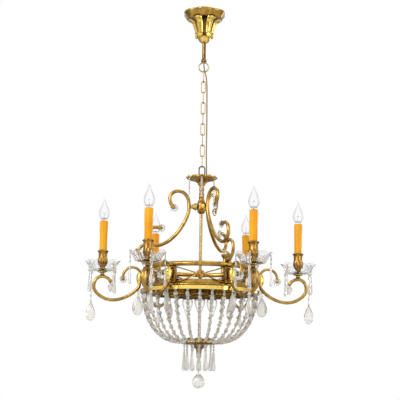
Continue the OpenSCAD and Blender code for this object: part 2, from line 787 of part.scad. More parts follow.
module bulb_glass() {
    r = bulb_d / 2;
    outer = [for (p = bulb_shape) [p.x * r, p.y * bulb_l]];
    inner = [for (i = [7:-1:0]) [bulb_shape[i].x * r - bulb_wall, bulb_shape[i].y * bulb_l + bulb_wall]];
    turned(concat([[0, 0]], outer, [[0, bulb_l], [0, inner[0].y + 4]], inner, [[0, bulb_wall]]));
}

module bulb_cap() { translate([0, 0, -bulb_cap_h]) cylinder(d = bulb_cap_d, h = bulb_cap_h - seat); }

module bulb_glasses() { color("white") at_candles() translate([0, 0, z_bulb]) bulb_glass(); }

module bulb_caps() { color("silver") at_candles() translate([0, 0, z_bulb]) bulb_cap(); }

module bulb_filaments() {
    stem_h = bulb_l * 0.3;
    color("gray") at_candles() translate([0, 0, z_bulb + bulb_wall + seat]) {
        cylinder(d = 5, h = 10);
        cylinder(d = 1.6, h = stem_h);
        translate([-6, 0, stem_h - 1]) rotate([0, 90, 0]) cylinder(d = 1.2, h = 12, $fn = 16);
    }
}

// Which of its two outward hooks carries the long pendant, arm by arm
long_hook = [1, 1, -1, -1, 1, -1];

module bobeche_drops() {
    top = z_glass + bobeche_h - 3.5 - seat;
    r = bobeche_r - 4;
    spear = 36;
    tail = 11;
    gap = 8;
    color(crystal) for (i = [0:arm_count - 1]) rotate([0, 0, i * 360 / arm_count])
        translate([candle_r, 0, 0]) for (a = [45, 135, 225, 315]) rotate([0, 0, a]) translate([r, 0, top]) {
            translate([0, 0, -4]) octagon_bead(8, 4);
            for (z = [15, 28.6]) translate([0, 0, -z]) octagon_bead(13);
            translate([0, 0, -spear]) prism(10, spear_l);
            if (a == (long_hook[i] > 0 ? 45 : 315)) translate([0, 0, -spear - spear_l - bead_gap]) {
                for (z = [tail / 2, tail * 1.5 + gap]) translate([0, 0, -z]) octagon_bead(tail);
                translate([0, 0, -tail - gap - 1]) cylinder(d = 2, h = gap + 2, $fn = 16);
                translate([0, 0, -2 * tail - gap - bead_gap]) rotate([0, 0, -a])
                    pendant(pendant_w - 4, pendant_l - 5, pendant_t - 2);
            }
        }
}

module basket_ring() {
    color(gold) translate([0, 0, z_basket]) rotate_extrude($fn = 96)
        polygon([[hoop_r - low_hoop_d / 2, 0], [lip_r - lip_t, 0], [lip_r - lip_t, -lip_h],
            [lip_r, -lip_h], [lip_r, flange_h - seat], [hoop_r - low_hoop_d / 2, flange_h - seat]]);
}

// Meridian of the basket at an angle t from its top
function basket_point(t) = [basket_low_r + (basket_top_r - basket_low_r) * pow(max(cos(t), 0), fullness),
    z_basket - seat - basket_depth * sin(t)];
function basket_slope(t) = basket_point(t + 0.5) - basket_point(t - 0.5);
function bead_size(i) = bead_top_d - (bead_top_d - bead_low_d) * i / (bead_count - 1);
function bead_angle(i) = i == 0 ? bead_top_d / 2 / norm(basket_slope(1))
    : let (t = bead_angle(i - 1), step = (bead_size(i - 1) + bead_size(i)) / 2 + bead_gap,
        mid = t + step / 2 / norm(basket_slope(t)))
    t + step / norm(basket_slope(mid));

module basket_strings() {
    half = 180 / string_count;
    angles = [for (i = [0:bead_count - 1]) bead_angle(i)];
    color(crystal) for (k = [0:string_count - 1]) rotate([0, 0, half + k * 2 * half])
        for (i = [0:bead_count - 1]) let (p = basket_point(angles[i]), s = basket_slope(angles[i]))
            translate([p.x, 0, p.y]) rotate([0, 90 + atan2(-s.x, -s.y), 0])
                cylinder(d = bead_size(i), h = bead_t, center = true);
}

// Shallow pan on the rod, which shows through the lattice
module lamp_carrier() {
    r = hoop_r - 12;
    wall = 2;
    bore = rod_bore / 2;
    color(gold) translate([0, 0, z_carrier])
        turned([[bore, 5], [11, 5], [11, 0], [r, 0], [r, -16], [r - wall, -16], [r - wall, -carrier_t],
            [11, -carrier_t], [11, -9], [bore, -9]]);
}

module basket_lampholders() {
    color(gold) at_lamps() translate([lamp_r, 0, z_low_bulb + seat]) difference() {
        cylinder(r1 = 12.5, r2 = 10, h = low_holder_h);
        translate([0, 0, -1]) cylinder(d = bulb_cap_d + 0.4, h = bulb_cap_h + 2);
    }
}

module basket_bulbs() {
    color("white") at_lamps() translate([lamp_r, 0, z_low_bulb]) mirror([0, 0, 1]) bulb_glass();
}

module basket_bulb_caps() {
    color("silver") at_lamps() translate([lamp_r, 0, z_low_bulb]) mirror([0, 0, 1]) bulb_cap();
}

// Plate that holds the strings and the fringe, with a leaf cup standing up inside
module basket_plate() {
    cup_r = plate_r - 10;
    lift = 15;
    color(gold) turned([[rod_bore / 2, z_plate], [26, z_plate], [cup_r - 3, z_plate + lift],
        [cup_r, z_plate + lift - 1], [plate_r - 20, z_plate - 0.5], [plate_r, z_plate - 0.5],
        [plate_r, z_fringe], [rod_bore / 2, z_fringe]]);
}

module finial() {
    h = finial_h;
    horn_r = 31;
    rod_hole = rod_d + 0.4;
    // From the plate down: a horn, a stem, an acorn cup and a small ball
    shape = [[horn_r, 0], [horn_r - 2, -2], [18, -8], [10, -16], [8.6, -24], [8.6, -31], [7, -33],
        [8.4, -36], [8, -43], [3, -h + 8], [3, -h + 7], [4, -h + 4], [3, -h]];
    color(dark) difference() {
        union() {
            translate([0, 0, z_fringe - seat]) turned(concat([[0, 0]], shape, [[0, -h]]));
            translate([0, 0, z_ball_pivot]) drop_tab(tab_half + 3);
        }
        translate([0, 0, z_fringe - rod_depth - 2]) cylinder(d = rod_hole, h = rod_depth + 4);
    }
}

module fringe_drops() {
    first = 12;
    second = 10;
    r = plate_r - 6;
    color(crystal) for (i = [0:fringe_count - 1]) rotate([0, 0, (i + 0.5) * 360 / fringe_count])
        translate([r, 0, z_fringe - seat]) {
            translate([0, 0, -first / 2]) octagon_bead(first);
            translate([0, 0, -first - bead_gap - second / 2]) octagon_bead(second);
            translate([0, 0, -first - second - 2 * bead_gap]) prism(12, prism_l);
        }
}

// Pendant that swings on its ring under an arm
module arm_drop(i) {
    neck = 2 * drop_ring_r + drop_wire / 2 + slack;
    color(crystal) rotate([0, 0, i * 360 / arm_count]) translate([arm_tab.x, 0, z_arm_pivot]) {
        drop_ring();
        translate([0, 0, -neck - drop_stub]) cylinder(d = 7, h = drop_stub);
        translate([0, 0, -neck - drop_stub + 4]) pendant(pendant_w, pendant_l, pendant_t);
    }
}

module arm_drop_1() { arm_drop(0); }
module arm_drop_2() { arm_drop(1); }
module arm_drop_3() { arm_drop(2); }
module arm_drop_4() { arm_drop(3); }
module arm_drop_5() { arm_drop(4); }
module arm_drop_6() { arm_drop(5); }

module ball_drop() {
    neck = 2 * drop_ring_r + drop_wire / 2 + slack;
    color(crystal) translate([0, 0, z_ball_pivot]) {
        drop_ring();
        translate([0, 0, -neck - ball_neck - 6]) cylinder(d = 3, h = ball_neck + 6);
        translate([0, 0, -neck - ball_neck + 1]) cylinder(d = 10, h = ball_neck - 8, $fn = 8);
        translate([0, 0, -neck - ball_neck - ball_d / 2 - 2]) sphere(d = ball_d);
    }
}

ceiling_strap();
stem_locknut();
terminal_block();
canopy();
stem();
stem_collar();
top_ring();
chain_side_links();
chain_face_links();
end_link();
power_cord();
shackle();
shackle_boss();
leaf_cap();
cap_bead_strings();
column();
hub();
spigots();
centre_rod();
upper_scrolls();
upper_flower_beads();
scroll_feet();
calyx_cups();
calyx_beads();
top_hoop();
bottom_hoop();
ring_posts();
ring_lattice();
ring_rosettes();
arm_collars();
lower_arms();
side_scrolls();
arm_flower_beads();
nozzles();
bobeches();
candle_cups();
lampholders();
candle_sleeves();
bulb_glasses();
bulb_caps();
bulb_filaments();
bobeche_drops();
basket_ring();
basket_strings();
lamp_carrier();
basket_lampholders();
basket_bulbs();
basket_bulb_caps();
basket_plate();
finial();
fringe_drops();
arm_drop_1();
arm_drop_2();
arm_drop_3();
arm_drop_4();
arm_drop_5();
arm_drop_6();
ball_drop();
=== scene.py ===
import json
from math import atan2, ceil, cos, degrees, hypot, pi, radians, sin

import bmesh
import bpy
from bpy.props import FloatProperty, FloatVectorProperty, IntProperty, PointerProperty
from mathutils import Matrix, Vector


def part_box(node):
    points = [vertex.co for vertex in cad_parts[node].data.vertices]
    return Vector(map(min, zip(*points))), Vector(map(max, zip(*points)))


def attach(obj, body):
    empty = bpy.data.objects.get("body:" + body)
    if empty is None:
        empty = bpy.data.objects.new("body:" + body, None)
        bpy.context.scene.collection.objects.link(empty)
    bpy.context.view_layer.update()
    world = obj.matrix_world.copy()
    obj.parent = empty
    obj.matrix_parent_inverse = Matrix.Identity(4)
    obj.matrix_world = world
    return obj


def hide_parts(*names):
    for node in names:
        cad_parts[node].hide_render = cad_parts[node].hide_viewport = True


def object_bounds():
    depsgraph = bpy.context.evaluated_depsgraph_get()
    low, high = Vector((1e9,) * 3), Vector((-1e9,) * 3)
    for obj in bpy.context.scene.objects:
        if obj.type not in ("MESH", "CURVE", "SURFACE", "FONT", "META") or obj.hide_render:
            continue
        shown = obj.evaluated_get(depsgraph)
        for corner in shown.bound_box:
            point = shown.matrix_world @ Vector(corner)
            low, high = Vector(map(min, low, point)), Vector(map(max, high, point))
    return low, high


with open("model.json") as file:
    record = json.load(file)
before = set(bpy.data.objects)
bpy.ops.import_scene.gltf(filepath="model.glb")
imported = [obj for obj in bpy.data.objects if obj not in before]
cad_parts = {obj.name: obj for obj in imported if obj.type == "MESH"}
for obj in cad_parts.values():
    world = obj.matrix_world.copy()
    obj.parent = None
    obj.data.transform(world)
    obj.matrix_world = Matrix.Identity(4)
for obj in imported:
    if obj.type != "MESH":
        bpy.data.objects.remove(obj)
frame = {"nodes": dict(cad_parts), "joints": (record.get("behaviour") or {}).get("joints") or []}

bl_info = {
    "name": "Basket Chandelier",
    "version": (1, 0, 0),
    "blender": (4, 5, 0),
    "location": "View3D > Sidebar > Chandelier",
    "description": "Dresses the frame of a six-arm crystal basket chandelier",
    "category": "Object",
}

CAD_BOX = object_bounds()
NODES = frame["nodes"]
MM = 0.001
ARM_TURNS = [radians(60 * i) for i in range(6)]
SCROLL_TURNS = [radians(60 + 120 * i) for i in range(3)]
GAP_TURNS = [turn + radians(30) for turn in ARM_TURNS]

# Lengths in mm that several pieces share
SEAT = 0.3  # gap between a piece and what carries it
COLLAR = 11.5  # radius of an arm collar
HOOP_HALF = 8  # half the width of a hoop
BUD_INSET = 20  # from the hoops' middle line in to a leaf bud
BORE = 5.5  # radius of the bore for the centre rod
FOOT_TUBE = 11  # thickness of the foot under an upper scroll
SIDE_TUBE = 9  # thickness of a side scroll
BEAD_GAP = 0.6  # between two beads of a string

# Scrolls as (bend radius in mm, angle in degrees)
SCROLL = [(44, 49), (23, 51), (32.5, 84), (48, 35), (110, 10), (97, 20), (203, 26), (114, 22),
          (35, 22), (35, 36), (33, 100), (21, 44), (80, 15)]
ARM = [(23, 40), (120, 42), (79, 55), (35.7, 81), (26.5, 52), (34, 35), (27, 35)]
SIDE = [(10, -31), (27, -44), (31, -74), (36, -41)]


def low(node):
    """Lowest corner of a frame node, in millimetres."""
    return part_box(node)[0] / MM


def high(node):
    """Highest corner of a frame node, in millimetres."""
    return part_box(node)[1] / MM


def ends(node):
    """Lowest and highest level of a frame node, in millimetres."""
    return low(node).z, high(node).z


# --- sizes and colours

def size(name, description, default, low_end, high_end):
    return FloatProperty(name=name, description=description, default=default, min=low_end,
        max=high_end, unit="LENGTH", subtype="DISTANCE")


def colour(name, description, default):
    return FloatVectorProperty(name=name, description=description, default=default, min=0, max=1,
        size=3, subtype="COLOR")


class ChandelierSizes(bpy.types.PropertyGroup):
    canopy_radius: size("Canopy", "Radius of the canopy's scalloped rim",
        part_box("canopy")[1].x, 0.06, 0.1)
    cap_radius: size("Leaf cap", "Radius of the leaf cap's rim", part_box("leaf_cap")[1].x, 0.04, 0.06)
    scroll_diameter: size("Scroll tube", "Thickness of the upper scroll tubes", 0.012, 0.009, 0.013)
    arm_diameter: size("Arm tube", "Thickness of the arm tubes", 0.011, 0.009, 0.0125)
    flower_diameter: size("Flower", "Size of the crystal flowers on the scroll ends", 0.027, 0.02, 0.03)
    bowl_radius: size("Glass bowl", "Radius of a glass bowl under a candle", 0.061, 0.055, 0.064)
    candle_diameter: size("Candle", "Thickness of a candle sleeve", 0.0275, 0.025, 0.029)
    bulb_diameter: size("Bulb", "Widest diameter of a bulb", 0.0365, 0.033, 0.039)
    pendant_width: size("Pendant", "Width of a large pendant", 0.037, 0.03, 0.04)
    ball_diameter: size("Ball", "Diameter of the lowest crystal ball", 0.044, 0.036, 0.048)
    cord_diameter: size("Cord", "Thickness of the flexible cord", 0.0048, 0.004, 0.006)
    relief: FloatProperty(name="Relief", description="Depth of the cast leaves, as a factor",
        default=1.0, min=0.3, max=1.6)
    bowl_petals: IntProperty(name="Bowl petals", description="Petals cut round a glass bowl",
        default=8, min=6, max=12)


class ChandelierColours(bpy.types.PropertyGroup):
    gold: colour("Gold", "Antique gold of tubes and hoops", (0.45, 0.27, 0.056))
    # Painted shade: the colour that the metals' hollows darken to, partly patina
    gold_shade: colour("Gold shade", "Patina in the gold's hollows", (0.10, 0.055, 0.012))
    # Painted shade in the folds of the leaves
    leaf_shade: colour("Leaf shade", "Red-brown in the folds of the leaves", (0.19, 0.075, 0.012))
    bright: colour("Bright gold", "Polished gold of the canopy and collars", (0.95, 0.64, 0.16))
    bronze: colour("Bronze", "Darker gold of the cast leaves", (0.40, 0.215, 0.045))
    pale: colour("Pale brass", "Links, ring and centre rod", (0.42, 0.30, 0.115))
    iron: colour("Iron", "Shackle", (0.03, 0.028, 0.024))
    crystal: colour("Crystal", "Tint of the cut crystals", (0.965, 0.945, 0.895))
    bowl: colour("Bowl glass", "Tint of the glass bowls", (0.975, 0.975, 0.975))
    candle: colour("Candle", "Amber of the candle sleeves", (1.0, 0.46, 0.012))
    candle_shade: colour("Candle shade", "Deeper amber in the candle's runs", (0.9, 0.34, 0.004))
    cord: colour("Cord", "Sheath of the flexible cord", (0.40, 0.275, 0.10))
    floor: colour("Floor", "Floor of the studio", (0.92, 0.92, 0.92))


def sizes():
    return bpy.context.scene.chandelier_sizes


def colours():
    return bpy.context.scene.chandelier_colours


# --- modelling by hand

def clear():
    """Leaves edit mode with nothing selected."""
    if bpy.context.object and bpy.context.object.mode != "OBJECT":
        bpy.ops.object.mode_set(mode="OBJECT")
    bpy.ops.object.select_all(action="DESELECT")


def edit(name):
    """Names the primitive just added and opens it for editing."""
    piece = bpy.context.object
    piece.name = piece.data.name = name
    bpy.ops.object.mode_set(mode="EDIT")
    return piece


def pick(test, faces=False):
    """Selects what passes the test: points by place, or faces by middle and normal."""
    bpy.ops.mesh.select_mode(type="FACE" if faces else "VERT")
    bpy.ops.mesh.select_all(action="DESELECT")
    piece = bpy.context.object
    mesh = bmesh.from_edit_mesh(piece.data)
    if faces:
        for face in mesh.faces:
            face.select = test(face.calc_center_median(), face.normal)
        mesh.select_flush_mode()
    else:
        for point in mesh.verts:
            point.select = test(point.co)
        mesh.select_flush(True)
    bmesh.update_edit_mesh(piece.data)


def pick_all():
    bpy.ops.mesh.select_all(action="SELECT")


def move(x=0, y=0, z=0):
    bpy.ops.transform.translate(value=(x, y, z))


def scale(x, y, z, centre=(0, 0, 0)):
    bpy.ops.transform.resize(value=(x, y, z), center_override=centre)


def extrude(by):
    bpy.ops.mesh.extrude_region_move(TRANSFORM_OT_translate={"value": by})


def close_up():
    """Merges doubled points, turns all faces outwards and leaves edit mode."""
    bpy.ops.mesh.select_mode(type="VERT")
    pick_all()
    bpy.ops.mesh.remove_doubles(threshold=1e-6)
    bpy.ops.mesh.normals_make_consistent(inside=False)
    bpy.ops.object.mode_set(mode="OBJECT")


def shade(piece, angle):
    """Smooths edges flatter than the angle; 0 leaves every facet."""
    clear()
    piece.select_set(True)
    bpy.context.view_layer.objects.active = piece
    if angle:
        bpy.ops.object.shade_smooth_by_angle(angle=radians(angle))
    else:
        bpy.ops.object.shade_flat()


def modify(piece, kind, **settings):
    """Adds a modifier, sets it and applies it."""
    clear()
    bpy.context.view_layer.objects.active = piece
    piece.select_set(True)
    modifier = piece.modifiers.new(kind.title(), kind)
    for key, value in settings.items():
        setattr(modifier, key, value)
    bpy.ops.object.modifier_apply(modifier=modifier.name)


def finish(piece, angle, rounded=False, place=None):
    """Closes a piece, rounds it by one subdivision if asked, puts it in place and shades it."""
    close_up()
    if rounded:
        modify(piece, "SUBSURF", levels=1, render_levels=1)
    if place:
        piece.data.transform(place)
    shade(piece, angle)
    return piece


def turned(name, rings, sides):
    """Turned form through (radius, height) rings in mm, left in edit mode; radius 0 closes it."""
    clear()
    rings = [(r * MM, z * MM) for r, z in rings]
    pointed = rings[0][0] == 0
    r, z = rings[1] if pointed else rings[0]
    bpy.ops.mesh.primitive_circle_add(vertices=sides, radius=r,
        fill_type="TRIFAN" if pointed else "NOTHING")
    piece = edit(name)
    move(z=z)
    if pointed:
        half = r / 2
        pick(lambda p: hypot(p.x, p.y) < half)
        move(z=rings[0][1] - z)
        pick(lambda p: hypot(p.x, p.y) > half)
    for r1, z1 in rings[2 if pointed else 1:]:
        extrude((0, 0, z1 - z))
        if r1 == 0:
            bpy.ops.mesh.merge(type="CENTER")
            break
        scale(r1 / r, r1 / r, 1, (0, 0, z1))
        r, z = r1, z1
    return piece


def looped(name, rings, sides):
    """Turned form whose last ring meets its first, left in edit mode."""
    return turned(name, rings + rings[:1], sides)


def raised(rings, level):
    return [(r, z + level) for r, z in rings]


def ribs(sides, count, shares, bottom=-9999, top=9999, lift=0, turn=0, inner=0):
    """Scales the columns of a turned form, counted from each rib's middle outwards, and lifts them."""
    per = sides // count
    for k, share in enumerate(shares):
        def column(p):
            if not (bottom * MM <= p.z <= top * MM and hypot(p.x, p.y) >= inner * MM):
                return False
            at = round((degrees(atan2(p.y, p.x)) - turn) / 360 * sides) % per
            return at in (k, (per - k) % per)
        pick(column)
        scale(share, share, 1)
        if lift:
            move(z=lift * MM * (share - shares[-1]) / (shares[0] - shares[-1]))


def section(name, thickness, sides, place):
    """Filled circle at a place, left in edit mode, from which a tube or wire is drawn."""
    clear()
    bpy.ops.mesh.primitive_circle_add(vertices=sides, radius=thickness / 2, fill_type="NGON")
    piece = edit(name)
    mesh = bmesh.from_edit_mesh(piece.data)
    mesh.transform(place)
    bmesh.update_edit_mesh(piece.data)
    return piece


def start_of(path):
    """Point and heading at the start of a path of (x, z) in mm, heading in degrees and turns."""
    (x, z), heading, _ = path
    return Vector((x * MM, 0, z * MM)), radians(heading)


def tube(name, path, diameter, sides):
    """Bent tube along a path in the XZ plane, closed at both ends; gives its point and heading too."""
    point, heading = start_of(path)
    piece = section(name, diameter, sides, Matrix.Translation(point) @ turn_about(pi / 2 - heading, "Y"))
    for radius, angle in path[2]:
        side = 1 if angle > 0 else -1
        centre = point + side * Vector((-sin(heading), 0, cos(heading))) * radius * MM
        bpy.ops.mesh.spin(steps=max(2, ceil(abs(angle) / 6)), angle=radians(abs(angle)),
            center=centre, axis=(0, side, 0))
        point = centre + Matrix.Rotation(radians(-angle), 3, "Y") @ (point - centre)
        heading += radians(angle)
    return finish(piece, 40), (point, heading)


def path_end(turns, heading):
    """Where a scroll of (radius, angle) turns ends, from the origin, in mm."""
    x = z = 0
    for radius, angle in turns:
        h, a = radians(heading), radians(abs(angle))
        along, across = radius * sin(a), (1 if angle > 0 else -1) * radius * (1 - cos(a))
        x += along * cos(h) - across * sin(h)
        z += along * sin(h) + across * cos(h)
        heading += angle
    return x, z


def scaled(turns, share):
    return [(radius * share, angle) for radius, angle in turns]


def turn_about(angle, axis="Z"):
    return Matrix.Rotation(angle, 4, axis)


def shift(x=0, y=0, z=0):
    return Matrix.Translation((x * MM, y * MM, z * MM))


def around(x=0, z=0, turns=ARM_TURNS):
    """Places at a radius and a height in mm, at each turn about the centre rod."""
    return [turn_about(a) @ shift(x, 0, z) for a in turns]


def even(count):
    """Turns that share out the circle, from half a step on."""
    return [radians(360 / count * (k + 0.5)) for k in range(count)]


def join(name, parts):
    """Joins finished parts into one piece."""
    clear()
    for part in parts:
        part.select_set(True)
    bpy.context.view_layer.objects.active = parts[0]
    if len(parts) > 1:
        bpy.ops.object.join()
    piece = bpy.context.object
    piece.name = piece.data.name = name
    return piece


def copies(name, part, places):
    """Copies of a part at each place, each with its own mesh, joined into one piece."""
    made = []
    for place in places:
        copy = part.copy()
        copy.data = part.data.copy()
        copy.data.transform(place)
        bpy.context.scene.collection.objects.link(copy)
        made.append(copy)
    bpy.data.objects.remove(part)
    return join(name, made)


def dress(piece, body, slot, coat, *nodes):
    """Gives a piece its material and body, and hides the frame nodes that it stands for; the slot is not
    used.
    """
    piece.data.materials.clear()
    piece.data.materials.append(coat)
    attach(piece, body)
    if nodes:
        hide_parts(*nodes)


def fixture(name, part, places, slot, coat, *nodes):
    """Dresses copies of a part at each place as one piece of the fixture."""
    dress(copies(name, part, places), "fixture", slot, coat, *nodes)


# --- materials

def toned(tint, share):
    return [c * share for c in tint]


def nodes_of(name):
    """New material with its tree, shader and coordinates, or the one there is and three Nones."""
    coat = bpy.data.materials.get(name)
    if coat:
        return coat, None, None, None
    coat = bpy.data.materials.new(name)
    coat.use_nodes = True
    tree = coat.node_tree
    return coat, tree, tree.nodes["Principled BSDF"], tree.nodes.new("ShaderNodeTexCoord")


def fill(node, **inputs):
    """Sets a node's inputs: a value is typed in, and another node's output is linked."""
    for name, value in inputs.items():
        socket = node.inputs[name.replace("_", " ")]
        if isinstance(value, bpy.types.NodeSocket):
            node.id_data.links.new(value, socket)
        else:
            socket.default_value = value
    return node


def add(tree, kind, **inputs):
    return fill(tree.nodes.new("ShaderNode" + kind), **inputs)


def noise(tree, coords, scale_to, detail, stretch=(1, 1, 1)):
    """Noise on the piece's own coordinates."""
    mapping = add(tree, "Mapping", Vector=coords.outputs["Object"], Scale=stretch)
    cloud = add(tree, "TexNoise", Vector=mapping.outputs["Vector"], Scale=scale_to, Detail=detail)
    return cloud.outputs["Fac"]


def ramp(tree, source, stops):
    """Colour ramp of (place, colour) stops driven by a factor."""
    node = add(tree, "ValToRGB", Fac=source)
    marks = node.color_ramp.elements
    for k, (place, tint) in enumerate(stops):
        mark = marks[k] if k < 2 else marks.new(place)
        mark.position = place
        mark.color = (*tint, 1)
    return node.outputs["Color"]


def mix(tree, share, first, second):
    """Blend of two colours, each a value or another node's output, by a share."""
    node = tree.nodes.new("ShaderNodeMix")
    node.data_type = "RGBA"
    for socket, value in zip((node.inputs[0], node.inputs[6], node.inputs[7]), (share, first, second)):
        if isinstance(value, bpy.types.NodeSocket):
            tree.links.new(value, socket)
        else:
            socket.default_value = (*value, 1)
    return node.outputs[2]


def spread(tree, source, low_end, high_end):
    return add(tree, "MapRange", Value=source, To_Min=low_end, To_Max=high_end).outputs["Result"]


def slant(tree, start, end):
    """How far a face turns away from the viewer, 0 up to the first share and 1 from the second."""
    weight = add(tree, "LayerWeight", Blend=0.5)
    return ramp(tree, weight.outputs["Facing"], [(start, (0, 0, 0)), (end, (1, 1, 1))])


def bump(tree, shader, height, strength, distance):
    node = add(tree, "Bump", Strength=strength, Distance=distance, Height=height)
    fill(shader, Normal=node.outputs["Normal"])


def metal(name, face, shadow, rough=(0.16, 0.34), grain=60, relief=0.12, hollow=0.012, wear=0.35,
          rim=0.62):
    """Lacquered gold: cloudy tone, painted shade in hollows (partly patina) and on faces that turn away
    from the viewer, fine marks.
    """
    coat, tree, shader, coords = nodes_of(name)
    if tree is None:
        return coat
    cloud = noise(tree, coords, grain, 6)
    fine = noise(tree, coords, grain * 9, 3)
    worn = [min(c, 1) for c in toned(face, 1 + wear)]
    tone = ramp(tree, cloud, [(0.34, toned(face, 1 - wear)), (0.66, worn), (0.5, face)])
    # Painted shade: ambient occlusion within the hollow distance darkens creases towards the shadow
    # colour, partly as patina
    painted_hollow_shade = add(tree, "AmbientOcclusion", Distance=hollow)
    painted_hollow_shade.samples = 6
    depth = ramp(tree, painted_hollow_shade.outputs["AO"], [(0.35, (0, 0, 0)), (0.85, (1, 1, 1))])
    # Painted shade: faces that turn away from the viewer are darkened by the rim share
    tone = mix(tree, slant(tree, 0.1, 0.72), tone, toned(face, 1 - rim))
    fill(shader, Base_Color=mix(tree, depth, shadow, tone), Metallic=1,
        Roughness=spread(tree, cloud, *rough))
    bump(tree, shader, fine, relief, 0.0008)
    return coat


def glass(name, tint, painted_edge_shade=0.78, rough=0.02, haze=0.92, grain=90, waves=0.05, bends=1.5,
          clear=1.0, start=0.35, painted_glint=None):
    """Clear glass with faint clouds, painted amber glints when asked, uneven polish and painted grey
    shade where it slants away.
    """
    coat, tree, shader, coords = nodes_of(name)
    if tree is None:
        return coat
    cloud = noise(tree, coords, grain, 3)
    # Painted reflection: amber glints of the gold parts, spotted over the crystal by noise
    if painted_glint:
        stops = [(0.41, painted_glint), (0.5, tint)]
    else:
        stops = [(0.3, toned(tint, haze)), (0.7, tint)]
    # Painted shade: the glass turns greyer where it slants away from the viewer
    tone = mix(tree, slant(tree, start, 0.95), ramp(tree, cloud, stops), toned(tint, painted_edge_shade))
    fill(shader, Base_Color=tone, Transmission_Weight=clear, IOR=bends, Roughness=rough)
    bump(tree, shader, cloud, waves, 0.001)
    return coat


def moulded(name, face, shadow, rough=(0.35, 0.5), grain=40, relief=0.1, stretch=(1, 1, 1), glow=0,
            gloss=0.5):
    """Moulded plastic or rubber with a drift of tone and a soft grain."""
    coat, tree, shader, coords = nodes_of(name)
    if tree is None:
        return coat
    cloud = noise(tree, coords, grain, 5, stretch)
    fine = noise(tree, coords, grain * 12, 2, stretch)
    fill(shader, Base_Color=ramp(tree, cloud, [(0.35, shadow), (0.62, face)]),
        Roughness=spread(tree, cloud, *rough), Specular_IOR_Level=gloss)
    if glow:
        fill(shader, Subsurface_Weight=glow, Subsurface_Radius=(0.012, 0.005, 0.001),
            Subsurface_Scale=0.6)
    bump(tree, shader, fine, relief, 0.0006)
    return coat


def gold():
    return metal("antique_gold", colours().gold, colours().gold_shade, hollow=0.007, wear=0.3)


def bright():
    return metal("polished_gold", colours().bright, colours().gold_shade, rough=(0.08, 0.2),
        grain=40, relief=0.05, hollow=0.02, wear=0.2, rim=0.72)


def bronze():
    return metal("cast_bronze", colours().bronze, toned(colours().gold_shade, 0.4),
        rough=(0.22, 0.42), grain=110, relief=0.35, hollow=0.008, wear=0.5, rim=0.75)


# Painted shade: bronze darkened by half, for the canopy's core seen in the bell's grooves and for the
# stem
def painted_shade_bronze():
    return metal("painted_shade_bronze", toned(colours().bronze, 0.5), toned(colours().gold_shade, 0.3),
        hollow=0.02)


def leaf_gold():
    return metal("leaf_gold", toned(colours().gold, 1.1), colours().leaf_shade, grain=120,
        rough=(0.2, 0.38), relief=0.35, hollow=0.005, wear=0.45, rim=0.5)


def pale():
    return metal("pale_brass", colours().pale, colours().gold_shade, rough=(0.2, 0.34),
        relief=0.06, hollow=0.003, wear=0.15, rim=0.7)


def iron():
    return metal("black_iron", colours().iron, (0.01, 0.01, 0.01), rough=(0.35, 0.55), relief=0.3)


def steel():
    return metal("zinc_steel", (0.62, 0.63, 0.64), (0.2, 0.2, 0.2), rough=(0.25, 0.4), relief=0.1,
        wear=0.12)


def crystal():
    return glass("cut_crystal", colours().crystal, clear=0.72)


# Crystal with painted amber glints that stand in for reflections of the gold
def painted_glint_crystal():
    return glass("painted_glint_crystal", colours().crystal, painted_edge_shade=0.9, clear=0.5, grain=210,
        painted_glint=[a * b for a, b in zip(colours().crystal, (0.5, 0.4, 0.24))])


def bowl_glass():
    return glass("clear_bowl", colours().bowl, painted_edge_shade=0.8, rough=0.01, haze=0.85, grain=70,
        waves=0.1, bends=1.12, start=0.3)


def bulb_glass():
    return glass("clear_bulb", (0.99, 0.99, 0.99), painted_edge_shade=0.62, rough=0.0, haze=0.97, grain=20,
        waves=0.0, bends=1.1, start=0.15)


def amber():
    return moulded("amber_candle", colours().candle, colours().candle_shade, rough=(0.34, 0.46),
        grain=46, stretch=(1, 1, 0.22), glow=0.06, gloss=0.25)


# --- operators

class Step(bpy.types.Operator):
    bl_options = {"REGISTER", "UNDO"}


def run(*makers):
    for make in makers:
        make()
    return {"FINISHED"}


def make_camera():
    clear()
    bpy.ops.object.camera_add(location=(-0.0051, -3.8132, -1.3453))
    camera = bpy.context.object
    camera.name = "viewer"
    tilt, roll = radians(99.97), radians(0.99)
    camera.rotation_euler = (turn_about(tilt, "X") @ turn_about(roll)).to_euler()
    camera.data.lens = 100.86
    camera.data.sensor_width = 36
    camera.data.clip_end = 50
    bpy.context.scene.camera = camera


class CHANDELIER_OT_camera(Step):
    """Sets the camera at the viewer's place below the lamp"""
    bl_idname = "chandelier.camera"
    bl_label = "Camera"

    def execute(self, context):
        return run(make_camera)


